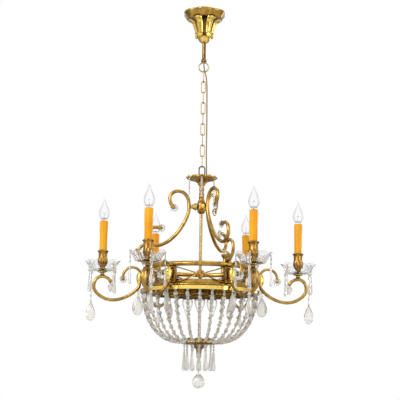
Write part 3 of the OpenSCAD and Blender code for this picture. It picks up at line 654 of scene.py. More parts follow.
def make_cord():
    route = [(0, -6.5, -176), (0, -6.5, -185), (1, -7, -200), (4, -7.5, -216), (8, -7, -232),
        (11, -5, -250), (12.5, -3, -275), (13, -2, -310), (13.5, -2, -350), (14, -2, -400),
        (14, -2, -450), (14, -2, -500), (14.5, -2, -535), (15.5, -1.5, -560), (16, -1, -580),
        (16, 0, -595), (16, 0, -606)]
    route = [Vector(p) * MM for p in route]
    last = len(route) - 1
    line = []
    for i in range(last):
        a, b, c, d = route[max(i - 1, 0)], route[i], route[i + 1], route[min(i + 2, last)]
        for t in (0, 0.25, 0.5, 0.75):
            line.append(0.5 * (2 * b + (c - a) * t + (2 * a - 5 * b + 4 * c - d) * t * t
                + (3 * b - a - 3 * c + d) * t ** 3))
    line.append(route[last])
    curve = bpy.data.curves.new("flexible_cord", "CURVE")
    curve.dimensions = "3D"
    curve.bevel_depth = sizes().cord_diameter / 2
    curve.bevel_resolution = 4
    curve.use_fill_caps = True
    spline = curve.splines.new("POLY")
    spline.points.add(len(line) - 1)
    for point, place in zip(spline.points, line):
        point.co = (*place, 1)
    cord = bpy.data.objects.new("flexible_cord", curve)
    bpy.context.scene.collection.objects.link(cord)
    coat = moulded("cord_sheath", colours().cord, toned(colours().cord, 0.5),
        rough=(0.3, 0.45), grain=220, relief=0.35, stretch=(1, 1, 1.8))
    dress(cord, "chain", "cord", coat, "power_cord")


class CHANDELIER_OT_cord(Step):
    """Makes the flexible cord that runs down beside the chain"""
    bl_idname = "chandelier.cord"
    bl_label = "Cord"

    def execute(self, context):
        return run(make_cord)


def make_canopy():
    r = sizes().canopy_radius / MM

    def cast(shares):
        return [1 + (share - 1) * sizes().relief for share in shares]

    outside = [(r - 2, 0), (r, -3), (r, -6), (r - 3, -9), (r - 5, -12.5), (r - 8, -16), (r - 12, -19),
        (r - 16, -21.5), (r - 21, -23.5), (30, -24.5)]
    inside = [(30, -22.5)] + [(x - 2, z + 1) for x, z in reversed(outside[1:-1])]
    dish = looped("canopy_dish", outside + inside, 96)
    petal = cast([1.01, 1.01, 1.005, 1.0, 0.99, 0.975, 0.955, 0.945, 0.94])
    ribs(96, 6, petal, -17, 1, turn=30)
    ribs(96, 6, petal, -30, -17.1, turn=30, lift=-5)
    dress(finish(dish, 50, rounded=True), "ceiling_fitting", "polished", gold(), "canopy")

    outside = [(42, -24), (52, -23.5), (54.5, -25), (55, -27.5), (53, -31), (47, -34), (42.5, -38.5),
        (39.5, -44), (36.8, -52), (34.4, -60), (32, -68), (29.8, -76), (27.6, -84), (25, -91),
        (21.8, -98), (17, -105), (11, -110.5), (5.3, -112)]
    bell = turned("canopy_bell", outside + [(5.3, -107), (16, -84), (20, -46), (42, -24)], 96)
    ribs(96, 6, cast([1.05, 1.05, 1.04, 1.02, 0.985, 0.92, 0.74, 0.56, 0.56]), -90, -23, inner=26)
    finish(bell, 30)
    button = turned("canopy_boss", [(0, 1.4), (5.4, 1.4), (6.6, 3.4), (9, 4.4), (10.6, 3.2), (11, 0),
        (10, -5), (0, -5)], 32)
    finish(button, 40)
    studs = copies("canopy_bosses", button,
        [place @ turn_about(radians(99), "Y") for place in around(27.6, -84.5)])
    dress(join("canopy_bell", [bell, studs]), "ceiling_fitting", "polished", bright())

    # Painted shade: a dark core inside the bell that shows in the grooves between the flutes
    shade_core = turned("canopy_shade_core", [(12, -26), (33, -26), (30.5, -44), (25.5, -66), (22, -92), (12, -94),
        (12, -26)], 48)
    dress(finish(shade_core, 40), "ceiling_fitting", "bronze", painted_shade_bronze())


class CHANDELIER_OT_canopy(Step):
    """Makes the scalloped canopy with its fluted bell and round bosses"""
    bl_idname = "chandelier.canopy"
    bl_label = "Canopy"

    def execute(self, context):
        return run(make_canopy)


def make_column():
    r = sizes().cap_radius / MM
    neck, rim = ends("leaf_cap")
    seat = low("shackle_boss").z
    outside = raised([(BORE, 0), (12.8, 0), (13, 4), (15, 8), (19, 12), (26, 15.5), (36, 18), (45, 19.5),
        (r - 2, 21), (r, 24)], neck)
    inside = raised([(r - 0.4, -0.6), (r - 2.4, 0), (46, -2), (40, -4.4), (31, -8)], rim)
    inside += raised([(26, 2.6), (21.4, 0), (BORE, 0)], seat)
    cap = looped("leaf_dish", outside + inside, 96)
    ribs(96, 12, [1.03, 1.02, 0.99, 0.95, 0.92], rim - 9, rim + 1, lift=2.6, inner=33)
    ribs(96, 12, [1.06, 1.03, 0.97, 0.92, 0.88], neck + 5, rim - 9, inner=14)
    dress(finish(cap, 50, rounded=True), "fixture", "bronze", leaf_gold(), "leaf_cap")

    foot, top = ends("column")
    rings = raised([(BORE, 0), (9, 0), (9.5, 4), (7.7, 8), (8.7, 13), (7.6, 19), (7.1, 24), (9, 29),
        (7.4, 33), (7.6, 38)], foot) + raised([(8.6, -3), (9, 0), (BORE, 0)], top)
    column = looped("leaf_column", rings, 64)
    ribs(64, 8, [1.06, 1.02, 0.96, 0.88, 0.84], foot + 5, top - 4, inner=6)
    dress(finish(column, 50, rounded=True), "fixture", "bronze", bronze(), "column")

    foot, top = ends("hub")
    rings = raised([(BORE, 0), (9.2, 0), (9.6, -3), (9, -5), (11, -10), (13.4, -16), (15, -21),
        (14.4, -24), (14.4, -37), (15.4, -39), (12.6, -43), (13.4, -46), (12, -50)], top)
    rings += raised([(8.6, 3), (6.6, 0), (BORE, 0)], foot)
    hub = looped("leaf_hub", rings, 64)
    ribs(64, 8, [1.06, 1.03, 0.97, 0.9, 0.86], top - 20, top - 6, inner=6)
    ribs(64, 8, [1.07, 1.03, 0.97, 0.9, 0.85], foot + 2, top - 40, inner=6)
    dress(finish(hub, 50, rounded=True), "fixture", "gilt", bronze(), "hub")


class CHANDELIER_OT_column(Step):
    """Makes the leaf cap, the column and the hub with their cast leaves"""
    bl_idname = "chandelier.column"
    bl_label = "Column"

    def execute(self, context):
        return run(make_column)


def hoop_radius():
    """Radius of the ring frame's middle line, in mm."""
    return high("top_hoop").x - HOOP_HALF


def bud_radius():
    """Radius at which the leaf buds stand, in mm."""
    return hoop_radius() - BUD_INSET


def scroll_path():
    """Start point, heading and turns of an upper scroll."""
    crown, base, heading, fall = 5, 9, 41, 136
    turns = scaled(SCROLL, fall / (path_end(SCROLL[:crown], heading)[1]
        - path_end(SCROLL[:base], heading)[1]))
    x, z = path_end(turns[:crown], heading)
    reach = -low("spigots").x + SEAT + sizes().scroll_diameter / MM / 2
    return (reach - x, sum(ends("spigots")) / 2 - z), heading, turns


def foot_path():
    """Start point, heading and turns of a foot: a lead, then two quarter turns to its leaf bud."""
    (x, z), heading, turns = scroll_path()
    lean, lead, half_scroll = 36, 21, 6
    off = half_scroll + FOOT_TUBE / 2 + SEAT
    along, up = path_end(turns[:10], heading)
    start = (x + along + off * sin(radians(lean)), z + up - off * cos(radians(lean)))
    end = (bud_radius() + 7.8, high("top_hoop").z + 4.5)
    out, rise = path_end([(lead, -lean)], lean)
    span, fall = end[0] - start[0] - out, end[1] - start[1] - rise
    fold = -(span + fall) / 2
    return start, lean, [(lead, -lean), (span + fold, -90), (fold, -90)]


def collar_radius():
    """Radius at which the arm collars stand, in mm."""
    return high("arm_collars").x - COLLAR


def candle_radius():
    """Radius at which the candles stand, in mm."""
    return high("bobeches").x - sizes().bowl_radius / MM


def arm_path():
    x, crown = collar_radius(), 5
    turns = scaled(ARM, (candle_radius() - x) / path_end(ARM[:crown], -90)[0])
    return (x, low("arm_collars").z), -90, turns


def side_path():
    return (collar_radius(), high("arm_collars").z), 90, SIDE


def flower(name):
    """Flat crystal flower with ten petals round a tube's end, its axis along Y."""
    r = sizes().flower_diameter / MM / 2
    piece = turned(name, [(5, 2), (5.6, 4.4), (r * 0.72, 4.6), (r, 1.4), (r, -1.4), (r * 0.72, -4.6),
        (5.6, -4.4), (5, -2), (5, 2)], 40)
    ribs(40, 10, [1.02, 0.95, 0.78], inner=7)
    return finish(piece, 15, place=turn_about(pi / 2, "X"))


def end_cap(name):
    """Short turned ferrule that closes a tube's end, its axis along X."""
    piece = turned(name, [(0, 5), (2.4, 4.6), (3.6, 2.6), (6.6, 1), (7.1, -1), (6.6, -3), (7, -5),
        (6.3, -9), (0, -9)], 24)
    return finish(piece, 40, place=turn_about(pi / 2, "Y"))


def at_end(end, back=False):
    """Place with +X along the tube at its end."""
    point, heading = end
    if back:
        heading += pi
    return Matrix.Translation(point) @ turn_about(-heading, "Y")


def make_scrolls():
    path, places = scroll_path(), around(turns=SCROLL_TURNS)
    part, end = tube("scroll", path, sizes().scroll_diameter, 20)
    tips = [at_end(start_of(path), True), at_end(end)]
    caps = copies("scroll_caps", end_cap("cap"), tips)
    part = join("scroll", [part, caps])
    fixture("scroll_tubes", part, places, "gilt", gold(), "upper_scrolls")

    pair = copies("flower_pair", flower("flower"), [tip @ shift(1) for tip in tips])
    fixture("scroll_flowers", pair, places, "crystal", crystal(), "upper_flower_beads")

    part, _ = tube("foot", foot_path(), FOOT_TUBE * MM, 16)
    fixture("foot_scrolls", part, places, "gilt", gold(), "scroll_feet")

    part = turned("calyx", [(0, 0), (5.5, 0), (7.5, 2), (7.2, 5), (7.5, 12), (7, 15), (8.6, 17), (11, 20),
        (12, 23.5), (13, 28), (11.8, 28), (9.8, 25), (0, 25)], 48)
    ribs(48, 6, [1.07, 1.04, 1, 0.9, 0.8], 16, 40, lift=3)
    places = around(bud_radius(), low("calyx_cups").z, SCROLL_TURNS)
    fixture("leaf_buds", finish(part, 40), places, "polished", gold(), "calyx_cups")

    part = turned("bud_crystal", [(0, 40.3), (3, 39.6), (7.4, 36), (8, 31), (6.4, 27), (0, 25.5)], 8)
    fixture("bud_crystals", finish(part, 0), places, "crystal", crystal(), "calyx_beads")


class CHANDELIER_OT_scrolls(Step):
    """Makes the upper scrolls, their feet, end caps and crystal flowers"""
    bl_idname = "chandelier.scrolls"
    bl_label = "Upper scrolls"

    def execute(self, context):
        return run(make_scrolls)


def block(name, x, y, z):
    """Block of these sizes in metres round the origin, left in edit mode."""
    clear()
    bpy.ops.mesh.primitive_cube_add(size=1)
    piece = edit(name)
    scale(x, y, z)
    return piece


def make_ring():
    r = hoop_radius()
    foot, top = ends("ring_posts")
    height, middle = (top - foot) * MM, (top + foot) / 2 * MM
    post = block("post", 0.013, 0.027, height)
    pick(lambda p, n: abs(n.x) > 0.9, faces=True)
    bpy.ops.mesh.inset(thickness=0.0065, depth=0)
    bpy.ops.mesh.inset(thickness=0.0012, depth=-0.0035)
    pick(lambda p, n: abs(n.x) > 0.9 and abs(p.y) < 0.002, faces=True)
    bpy.ops.mesh.inset(thickness=0.0015, depth=0.0014)
    pick_all()
    move(r * MM, 0, middle)
    close_up()
    modify(post, "BEVEL", width=0.0007, segments=2, limit_method="ANGLE")
    lug = block("lug", 0.0057, 0.010, height / 2)
    move((r + 9.35) * MM, 0, middle)
    close_up()
    modify(lug, "BEVEL", width=0.0012, segments=2, limit_method="ANGLE")
    part = join("post", [post, lug])
    shade(part, 40)
    fixture("grooved_posts", part, around(), "bronze", bronze(), "ring_posts")

    rings = [(0, 5), (2.9, 4.8), (4.6, 2.8), (6, 2.1), (9.6, 4.2), (12.8, 3.6), (15.2, 1.4), (15.2, -1.2),
        (12.8, -3), (9.6, -3.8), (6, -2), (4.6, -2.6), (2.9, -4.6), (0, -4.8)]
    part = turned("rosette", rings, 64)
    ribs(64, 8, [1, 0.99, 0.96, 0.9, 0.82], inner=5)
    finish(part, 50, rounded=True, place=turn_about(pi / 2, "Y"))
    places = around(r, middle / MM, GAP_TURNS)
    fixture("flower_rosettes", part, places, "bronze", bronze(), "ring_rosettes")


class CHANDELIER_OT_ring(Step):
    """Makes the posts and rosettes between the two hoops"""
    bl_idname = "chandelier.ring"
    bl_label = "Ring frame"

    def execute(self, context):
        return run(make_ring)


def make_arms():
    barrel = [(0, 0), (7.4, 0), (8.2, 1.4), (7.2, 2.6), (9, 4.2), (10.6, 7.6), (11.4, 12.5), (11.5, 19),
        (11.4, 25.5), (10.6, 30.4), (9, 33.8), (7.2, 35.4), (8, 36.6), (6.9, 38), (0, 38)]
    part = finish(turned("collar", barrel, 32), 50, rounded=True)
    places = around(collar_radius(), low("arm_collars").z)
    fixture("arm_barrels", part, places, "polished", bright(), "arm_collars")

    path = (x, z), heading, turns = arm_path()
    part, end = tube("arm", path, sizes().arm_diameter, 16)
    along, up = path_end(turns[:1], heading)
    clear()
    bpy.ops.mesh.primitive_cylinder_add(vertices=16, radius=0.0026, depth=0.0025)
    tab = edit("tab")
    pick_all()
    bpy.ops.transform.rotate(value=pi / 2, orient_axis="X", center_override=(0, 0, 0))
    pick(lambda p: p.z > 0.0018)
    move(z=0.0075)
    finish(tab, 40, place=shift(x + along, 0, z + up - 9.6))
    cap = copies("cap", end_cap("cap"), [at_end(end) @ Matrix.Scale(0.9, 4)])
    part = join("arm", [part, tab, cap])
    fixture("arm_tubes", part, around(), "gilt", gold(), "lower_arms")

    part, side_end = tube("side", side_path(), SIDE_TUBE * MM, 14)
    pin = copies("pin", end_cap("pin"), [at_end(side_end) @ shift(3) @ Matrix.Scale(0.8, 4)])
    part = join("side", [part, pin])
    fixture("side_curls", part, around(), "gilt", gold(), "side_scrolls")

    tulip = turned("tulip", [(0, 0), (3.4, 0), (8, -5), (9.6, -10), (7.4, -17), (4, -24), (0, -30)], 8)
    tip = end[0] / MM
    tulip = copies("tulip", finish(tulip, 0), [shift(tip.x, 0, tip.z - 5)])
    bloom = copies("bloom", flower("bloom"), [at_end(side_end) @ shift(2)])
    part = join("arm_crystal", [tulip, bloom])
    fixture("arm_crystals", part, around(), "crystal", crystal(), "arm_flower_beads")


class CHANDELIER_OT_arms(Step):
    """Makes the arms with their collars, side scrolls, end caps and crystals"""
    bl_idname = "chandelier.arms"
    bl_label = "Arms"

    def execute(self, context):
        return run(make_arms)


def make_candles():
    places = around(candle_radius())
    z = low("bobeches").z
    r = sizes().bowl_radius / MM
    outside = [(5.5, 0), (18, 0), (30, 0.2), (36.6, 1.2), (42, 4.5), (47, 10), (51, 15.5), (54.5, 20.5),
        (58, 25), (r, 28.5)]
    inside = [(r - 0.6, 29.6), (r - 5, 26), (51, 20.5), (47, 15), (43, 10.4), (38, 6.6), (33, 4.6),
        (18, 4), (5.5, 4)]
    bowl = looped("bowl", raised(outside + inside, z), 96)
    petals = sizes().bowl_petals
    per = 96 // petals
    shares = [1.0 - 0.1 * (k / (per // 2)) ** 2.2 for k in range(per // 2 + 1)]
    ribs(96, petals, shares, z + 9, z + 40, lift=6.5)
    ribs(96, petals * 2, [1.0, 0.985, 0.965, 0.985][:per // 4 + 1], z + 3, z + 27, inner=32)
    fixture("petal_bowls", finish(bowl, 18), places, "bowl_glass", bowl_glass(), "bobeches")

    z = low("candle_cups").z
    cup = [(0, 0), (12, 0), (12.8, 1.6), (11, 3.2), (7, 5.4), (7.2, 8.6), (9.4, 12.6), (13.4, 18),
        (16.2, 24), (16.8, 30), (16.2, 36), (15.2, 41), (14.9, 46), (15, 56), (15.6, 60),
        (17.2, 62.4), (19.1, 63.8), (19.3, 65), (18.2, 66), (16.6, 67), (15.8, 68), (14.2, 68),
        (14, 62), (14, 26), (0, 26)]
    cup = turned("cup", raised(cup, z), 64)
    ribs(64, 8, [1.06, 1.03, 0.98, 0.93, 0.88], z + 11, z + 41, inner=13.3)
    fixture("leaf_cups", finish(cup, 50, rounded=True), places, "polished", bronze(), "candle_cups")

    foot, top = ends("candle_sleeves")
    r = sizes().candle_diameter / MM / 2
    levels = [foot] + [foot + 42 + 7.8 * k for k in range(13)] + [top - 5, top - 2]
    outside = [(r - 1 + 0.9 * (level - foot) / (top - foot), level) for level in levels]
    rings = outside + [(r - 1.6, top - 0.4), (r - 3.2, top), (r - 3.4, top - 1.2), (r - 1.8, top - 1.8),
        (r - 1.8, foot)]
    sleeve = looped("sleeve", rings, 48)
    for at, wide, long in ((12, 16, 64), (58, 12, 34), (97, 18, 88), (150, 14, 50), (188, 12, 26),
            (226, 18, 76), (270, 14, 46), (305, 12, 92), (338, 12, 30)):
        for spare, bulge in ((0, 1.035), (-5, 1.03)):
            def drip(p):
                off = (degrees(atan2(p.y, p.x)) - at + 180) % 360 - 180
                return (abs(off) < wide + spare and p.z > (top - long - spare) * MM
                    and hypot(p.x, p.y) > (r - 1.3) * MM)
            pick(drip)
            scale(bulge, bulge, 1)
    finish(sleeve, 60, rounded=True)
    turns = [place @ turn_about(radians(71 * k)) for k, place in enumerate(places)]
    fixture("dripping_sleeves", sleeve, turns, "candle", amber(), "candle_sleeves")

    z = low("bulb_glasses").z
    r, long = sizes().bulb_diameter / MM / 2, high("bulb_glasses").z - z
    shape = [(0.44, 0), (0.5, 0.03), (0.68, 0.08), (0.84, 0.14), (0.95, 0.2), (1, 0.27), (0.99, 0.33),
        (0.93, 0.4), (0.82, 0.47), (0.68, 0.54), (0.53, 0.61), (0.4, 0.68), (0.3, 0.74), (0.22, 0.8),
        (0.16, 0.86), (0.11, 0.92), (0.07, 0.98)]
    outside = [(0, 0)] + [(a * r, b * long) for a, b in shape] + [(0, long)]
    inside = [(0, long * 0.9)] + [(a * r - 0.9, b * long + 0.4) for a, b in reversed(shape[2:13])]
    shell = turned("bulb", raised(outside, z), 32)
    for level, lean in ((0.72, 0.3), (0.78, 0.6), (0.84, 1.0), (0.9, 1.5), (0.96, 2.0), (0.99, 1.2)):
        pick(lambda p: p.z > (z + long * level) * MM)
        move(x=lean * MM)
    close_up()
    hollow = turned("bulb_hollow", raised(inside + [(0, 0.08 * long + 0.4)], z), 32)
    close_up()
    hollow.data.flip_normals()
    bulb = join("bulb", [shell, hollow])
    shade(bulb, 60)
    turns = [place @ turn_about(pi + radians(12 * (k % 3 - 1)) - turn)
        for k, (place, turn) in enumerate(zip(places, ARM_TURNS))]
    fixture("flame_bulbs", bulb, turns, "bulb_glass", bulb_glass(), "bulb_glasses")


class CHANDELIER_OT_candles(Step):
    """Makes the glass bowls, leaf cups, dripping candle sleeves and bent-tip bulbs"""
    bl_idname = "chandelier.candles"
    bl_label = "Candles"

    def execute(self, context):
        return run(make_candles)


def bead(name, diameter, thick=5):
    """Octagon crystal cut to a flat table on both faces, facing +X on a vertical string."""
    clear()
    bpy.ops.mesh.primitive_cylinder_add(vertices=8, radius=diameter * MM / 2 / cos(pi / 8),
        depth=thick * MM * 0.24)
    piece = edit(name)
    for way in (1, -1):
        pick(lambda p, n: n.z * way > 0.9, faces=True)
        extrude((0, 0, way * thick * MM * 0.38))
        scale(0.5, 0.5, 1, (0, 0, way * thick * MM / 2))
    return finish(piece, 0, place=turn_about(pi / 2, "Y") @ turn_about(pi / 8))


def strung(name, diameter, level, thick=5):
    """Bead at a level of its string."""
    piece = bead(name, diameter, thick)
    piece.data.transform(shift(0, 0, level))
    return piece


def spear(name, width, long, level):
    """Crystal prism that widens downwards from its level to a blunt point."""
    w = width / 2
    piece = turned(name, [(0, 0), (w * 0.4, -0.8), (w * 0.5, -long * 0.12), (w * 0.66, -long * 0.45),
        (w * 0.9, -long * 0.72), (w, -long * 0.88), (w * 0.7, -long * 0.96), (0, -long)], 6)
    return finish(piece, 0, place=shift(0, 0, level) @ Matrix.Diagonal((0.8, 1, 1, 1)))


def teardrop(name, width, long, thick, level):
    """Almond-shaped crystal pendant that hangs from its level, its face in the XZ plane."""
    w = width / 2
    rows = [(0, 0), (0.12, -0.02), (0.26, -0.09), (0.5, -0.2), (0.76, -0.34), (0.95, -0.49), (1, -0.62),
        (0.93, -0.76), (0.74, -0.88), (0.42, -0.97), (0, -1)]
    piece = turned(name, [(a * w, b * long) for a, b in rows], 14)
    return finish(piece, 0, place=shift(0, 0, level) @ Matrix.Diagonal((1, thick / width, 1, 1)))


def wire(name, points, thickness=0.9, sides=5):
    """Thin wire through points in mm."""
    points = [Vector(p) * MM for p in points]
    way = (points[1] - points[0]).to_track_quat("Z", "Y").to_matrix().to_4x4()
    piece = section(name, thickness * MM, sides, Matrix.Translation(points[0]) @ way)
    for a, b in zip(points, points[1:]):
        extrude(b - a)
    close_up()
    return piece


def make_cap_strings():
    part = copies("short_string", bead("small_bead", 8, 4),
        [shift(0, 0, -(k + 0.5) * 8.6) for k in range(6)])
    point = spear("short_spear", 8, 22, -51.6)
    part = join("short_string", [part, point])
    places = around(sizes().cap_radius / MM - 4, high("cap_bead_strings").z, GAP_TURNS)
    fixture("cap_strings", part, places, "crystal", painted_glint_crystal(), "cap_bead_strings")
    pin = wire("cap_pin", [(0, 0, 4), (0, 0, -52)])
    fixture("cap_string_wires", pin, places, "gilt", pale())


def make_basket():
    top, deep, wide, narrow = high("basket_ring").z - 3.5, 173, 195, 60
    strings, beads, largest, smallest = 30, 18, 14.5, 10

    def point(t):
        return Vector((narrow + (wide - narrow) * max(cos(radians(t)), 0) ** 0.85, 0,
            top - deep * sin(radians(t))))

    def slope(t):
        return point(t + 0.5) - point(t - 0.5)

    def girth(k):
        return largest - (largest - smallest) * k / (beads - 1)

    angle = girth(0) / 2 / slope(1).length
    made, line = [], []
    for k in range(beads):
        if k:
            step = (girth(k - 1) + girth(k)) / 2 + BEAD_GAP
            middle = angle + step / 2 / slope(angle).length
            angle += step / slope(middle).length
        p, s = point(angle), slope(angle)
        one = bead("basket_bead", girth(k))
        twist = turn_about(radians(40 if k % 2 else -34))
        made.append(copies("basket_bead", one, [Matrix.Translation(p * MM)
            @ turn_about(atan2(-s.x, -s.z), "Y") @ twist]))
        line.append(p)
    part = join("basket_string", made)
    places = around(turns=even(strings))
    fixture("basket_crystals", part, places, "crystal", painted_glint_crystal(), "basket_strings")
    line = [line[0] - slope(2) * 4] + line + [line[-1] + slope(angle) * 3]
    fixture("basket_wires", wire("basket_wire", line, 1.0, 4), places, "gilt", pale())


def make_fringe():
    z, r, count = low("basket_plate").z, high("basket_plate").x - 6, 14
    point = spear("fringe_spear", 19, 64, -23.5)
    part = join("fringe_drop", [strung("fringe_bead", 12, -6.3), strung("fringe_bead", 10, -17.9),
        point])
    places = around(r, z, even(count))
    fixture("fringe_crystals", part, places, "crystal", crystal(), "fringe_drops")
    fixture("fringe_wires", wire("fringe_wire", [(0, 0, 1), (0, 0, -24)]), places, "gilt", pale())

    plate = [(BORE, 3), (22, 3), (28, 4), (34, 9), (40, 14), (46, 18.5), (48, 17.6), (46.6, 14), (45, 8),
        (46, 3.6), (r + 4, 3), (r + 6, 2), (r + 6, 0), (BORE, 0)]
    plate = looped("plate", raised(plate, z), 96)
    ribs(96, 8, [1.03, 1.03, 1.02, 1.0, 0.97, 0.92, 0.86], z + 7, z + 40, lift=4, inner=30)
    dress(finish(plate, 50, rounded=True), "fixture", "polished", gold(), "basket_plate")


def make_bowl_drops():
    z = low("bobeches").z + 29.2
    r = sizes().bowl_radius / MM - 4
    point = spear("drop_spear", 11.5, 67, -36.2)
    drop = join("bowl_drop", [strung("drop_bead", 8, -4, 4), strung("drop_bead", 13, -15),
        strung("drop_bead", 13, -28.6), point])
    tear = teardrop("drop_tear", 33, 66, 10, -130)
    tail = join("long_tail", [strung("tail_bead", 11, -110.1), strung("tail_bead", 11, -129.1), tear])
    turns, tails = [], []
    for k, place in enumerate(around(candle_radius())):
        outer = 45 if k in (0, 1, 4) else 315
        for a in (45, 135, 225, 315):
            turns.append(place @ turn_about(radians(a)) @ shift(r, 0, z))
        tails.append(place @ turn_about(radians(outer)) @ shift(r, 0, z)
            @ turn_about(radians(-outer)))
    both = [copies("bowl_drops", drop, turns), copies("long_tails", tail, tails)]
    dress(join("bowl_drop_crystals", both), "fixture", "crystal", crystal(), "bobeche_drops")
    both = [copies("drop_wires", wire("drop_wire", [(0, 0, 2), (0, 0, -37)]), turns),
        copies("tail_wires", wire("tail_wire", [(0, 0, -101), (0, 0, -137)], 1.1), tails)]
    dress(join("bowl_drop_wires", both), "fixture", "gilt", pale())


class CHANDELIER_OT_crystals(Step):
    """Makes the bead strings, the basket, the fringe and the drops on the glass bowls"""
    bl_idname = "chandelier.crystals"
    bl_label = "Crystals"

    def execute(self, context):
        return run(make_cap_strings, make_basket, make_fringe, make_bowl_drops)


def wire_loop(name, body, place):
    """Small wire loop that hangs from the pin at a place and rides on a body."""
    clear()
    bpy.ops.mesh.primitive_torus_add(major_radius=0.004, minor_radius=0.0008, major_segments=24,
        minor_segments=8, rotation=(0, pi / 2, 0))
    piece = edit(name)
    close_up()
    bpy.ops.object.transform_apply(location=True, rotation=True, scale=True)
    piece.data.transform(shift(0, 0, -4))
    shade(piece, 60)
    piece.data.transform(place)
    dress(piece, body, "gilt", pale())


def make_swinging():
    joints = {j["child"]: Vector(j["pos_m"]) for j in frame["joints"] if "pos_m" in j}
    for k, turn in enumerate(ARM_TURNS):
        body = f"arm_pendant_{k + 1}"
        at = Matrix.Translation(joints[body]) @ turn_about(turn)
        wire_loop(f"pendant_loop_{k + 1}", body, at)
        top = bead("pendant_top", 7)
        top.data.transform(turn_about(pi / 2) @ shift(0, 0, -12.6))
        tear = teardrop("pendant_tear", sizes().pendant_width / MM, 67, 12, -15.8)
        drop = join(f"pendant_{k + 1}", [top, tear])
        drop.data.transform(at)
        dress(drop, body, "crystal", crystal(), f"arm_drop_{k + 1}")
    at = Matrix.Translation(joints["ball_pendant"])
    wire_loop("ball_loop", "ball_pendant", at)
    bottom = low("ball_drop").z - joints["ball_pendant"].z / MM
    d = sizes().ball_diameter
    clear()
    bpy.ops.mesh.primitive_uv_sphere_add(segments=12, ring_count=9, radius=d / 2)
    ball = edit("ball")
    pick(lambda p: p.z > d * 0.42)
    move(z=0.004)
    finish(ball, 0, place=shift(0, 0, bottom + d / MM / 2))
    link = turned("ball_link", [(0, -8.6), (1.2, -9), (2.4, -12), (4.6, -17), (5, -22), (3, -30),
        (1.6, -36), (2.2, -40), (0, bottom + d / MM + 1)], 8)
    drop = join("ball_crystal", [ball, finish(link, 0)])
    drop.data.transform(at)
    dress(drop, "ball_pendant", "crystal", crystal(), "ball_drop")


class CHANDELIER_OT_swinging(Step):
    """Makes the drops that swing: a pendant under each arm, and the ball"""
    bl_idname = "chandelier.swinging"
    bl_label = "Swinging drops"

    def execute(self, context):
        return run(make_swinging)


def make_fittings():
    holder = moulded("lampholder", (0.035, 0.03, 0.025), (0.015, 0.013, 0.011), relief=0.15)
    terminal = moulded("terminal", (0.8, 0.8, 0.76), (0.66, 0.66, 0.62), relief=0.1)
    cap = metal("bulb_cap", (0.66, 0.63, 0.56), (0.2, 0.18, 0.15), relief=0.2, wear=0.1)
    filament = metal("filament", (0.4, 0.36, 0.3), (0.1, 0.09, 0.08), relief=0.1)
    for coat, names in (
            (steel(), "ceiling_strap stem_locknut"), (terminal, "terminal_block"),
            (painted_shade_bronze(), "stem"), (bronze(), "stem_collar shackle_boss finial"), (iron(), "shackle"),
            (pale(), "top_ring chain_side_links chain_face_links end_link centre_rod"),
            (bright(), "spigots nozzles basket_ring"), (holder, "lampholders"),
            (gold(), "top_hoop bottom_hoop ring_lattice lamp_carrier basket_lampholders"),
            (cap, "bulb_caps basket_bulb_caps"), (filament, "bulb_filaments"),
            (bulb_glass(), "basket_bulbs")):
        for name in names.split():
            mesh = NODES[name].data
            mesh.materials.clear()
            mesh.materials.append(coat)


class CHANDELIER_OT_fittings(Step):
    """Gives the frame's own metal and moulded fittings their finish"""
    bl_idname = "chandelier.fittings"
    bl_label = "Fittings"

    def execute(self, context):
        return run(make_fittings)


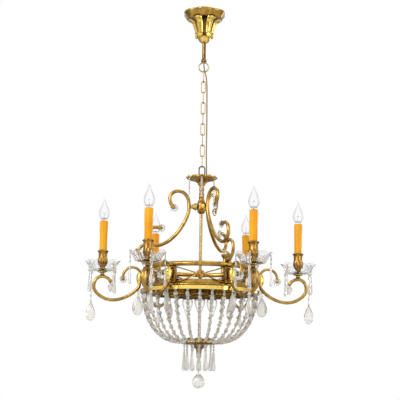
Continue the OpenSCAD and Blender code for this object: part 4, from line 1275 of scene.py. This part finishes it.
def make_stage():
    clear()
    bpy.ops.mesh.primitive_plane_add(size=14, location=(0, 0, CAD_BOX[0].z - 0.35))
    floor = bpy.context.object
    floor.name = "studio_floor"
    coat, _, shader, _ = nodes_of("studio_floor")
    fill(shader, Base_Color=(*colours().floor, 1), Roughness=0.9)
    floor.data.materials.append(coat)
    for name, place, aim, watts, wide, tall in (
            ("key_lamp", (-1.9, -2.3, 0.4), -0.8, 52, 1.0, 1.6),
            ("fill_lamp", (2.2, -1.7, -0.6), -0.8, 13, 0.8, 1.6),
            ("top_lamp", (0.3, 0.4, 1.6), -0.7, 24, 1.4, 1.4),
            ("back_lamp", (2.2, 1.8, -0.2), -0.8, 16, 1.0, 1.2)):
        bpy.ops.object.light_add(type="AREA", location=place)
        lamp = bpy.context.object
        lamp.name = name
        way = Vector((0, 0, aim)) - Vector(place)
        lamp.rotation_euler = way.to_track_quat("-Z", "Y").to_euler()
        lamp.data.shape = "RECTANGLE"
        lamp.data.size, lamp.data.size_y = wide, tall
        lamp.data.energy = watts
    world = bpy.data.worlds.new("studio")
    bpy.context.scene.world = world
    world.use_nodes = True
    tree = world.node_tree
    soft = fill(tree.nodes["Background"], Color=(1, 1, 1, 1), Strength=0.42)
    white = add(tree, "Background", Color=(1, 1, 1, 1), Strength=1.0)
    path = add(tree, "LightPath")
    seen = path.outputs["Is Camera Ray"]
    for ray in ("Is Glossy Ray", "Is Transmission Ray"):
        either = add(tree, "Math")
        either.operation = "MAXIMUM"
        tree.links.new(seen, either.inputs[0])
        tree.links.new(path.outputs[ray], either.inputs[1])
        seen = either.outputs[0]
    blend = add(tree, "MixShader")
    for k, output in enumerate((seen, soft.outputs[0], white.outputs[0])):
        tree.links.new(output, blend.inputs[k])
    fill(tree.nodes["World Output"], Surface=blend.outputs[0])
    bpy.context.scene.view_settings.view_transform = "Standard"


class CHANDELIER_OT_stage(Step):
    """Sets a pale floor, a white surround and soft lamps"""
    bl_idname = "chandelier.stage"
    bl_label = "Studio"

    def execute(self, context):
        return run(make_stage)


# The steps, in the order in which they stand above
STEPS = tuple(Step.__subclasses__())


class CHANDELIER_PT_panel(bpy.types.Panel):
    """Lists the chandelier's sizes, colours and steps"""
    bl_idname = "CHANDELIER_PT_panel"
    bl_label = "Basket Chandelier"
    bl_space_type = "VIEW_3D"
    bl_region_type = "UI"
    bl_category = "Chandelier"

    def draw(self, context):
        for group in (context.scene.chandelier_sizes, context.scene.chandelier_colours):
            box = self.layout.box()
            for name in group.__annotations__:
                box.prop(group, name)
        for step in STEPS:
            self.layout.operator(step.bl_idname)


CLASSES = (ChandelierSizes, ChandelierColours) + STEPS + (CHANDELIER_PT_panel,)


def register():
    for cls in CLASSES:
        bpy.utils.register_class(cls)
    bpy.types.Scene.chandelier_sizes = PointerProperty(type=ChandelierSizes)
    bpy.types.Scene.chandelier_colours = PointerProperty(type=ChandelierColours)


def unregister():
    del bpy.types.Scene.chandelier_colours
    del bpy.types.Scene.chandelier_sizes
    for cls in reversed(CLASSES):
        bpy.utils.unregister_class(cls)


def main():
    register()
    for step in STEPS:
        getattr(bpy.ops.chandelier, step.bl_idname.split(".")[1])()
    clear()


if __name__ == "__main__":
    main()
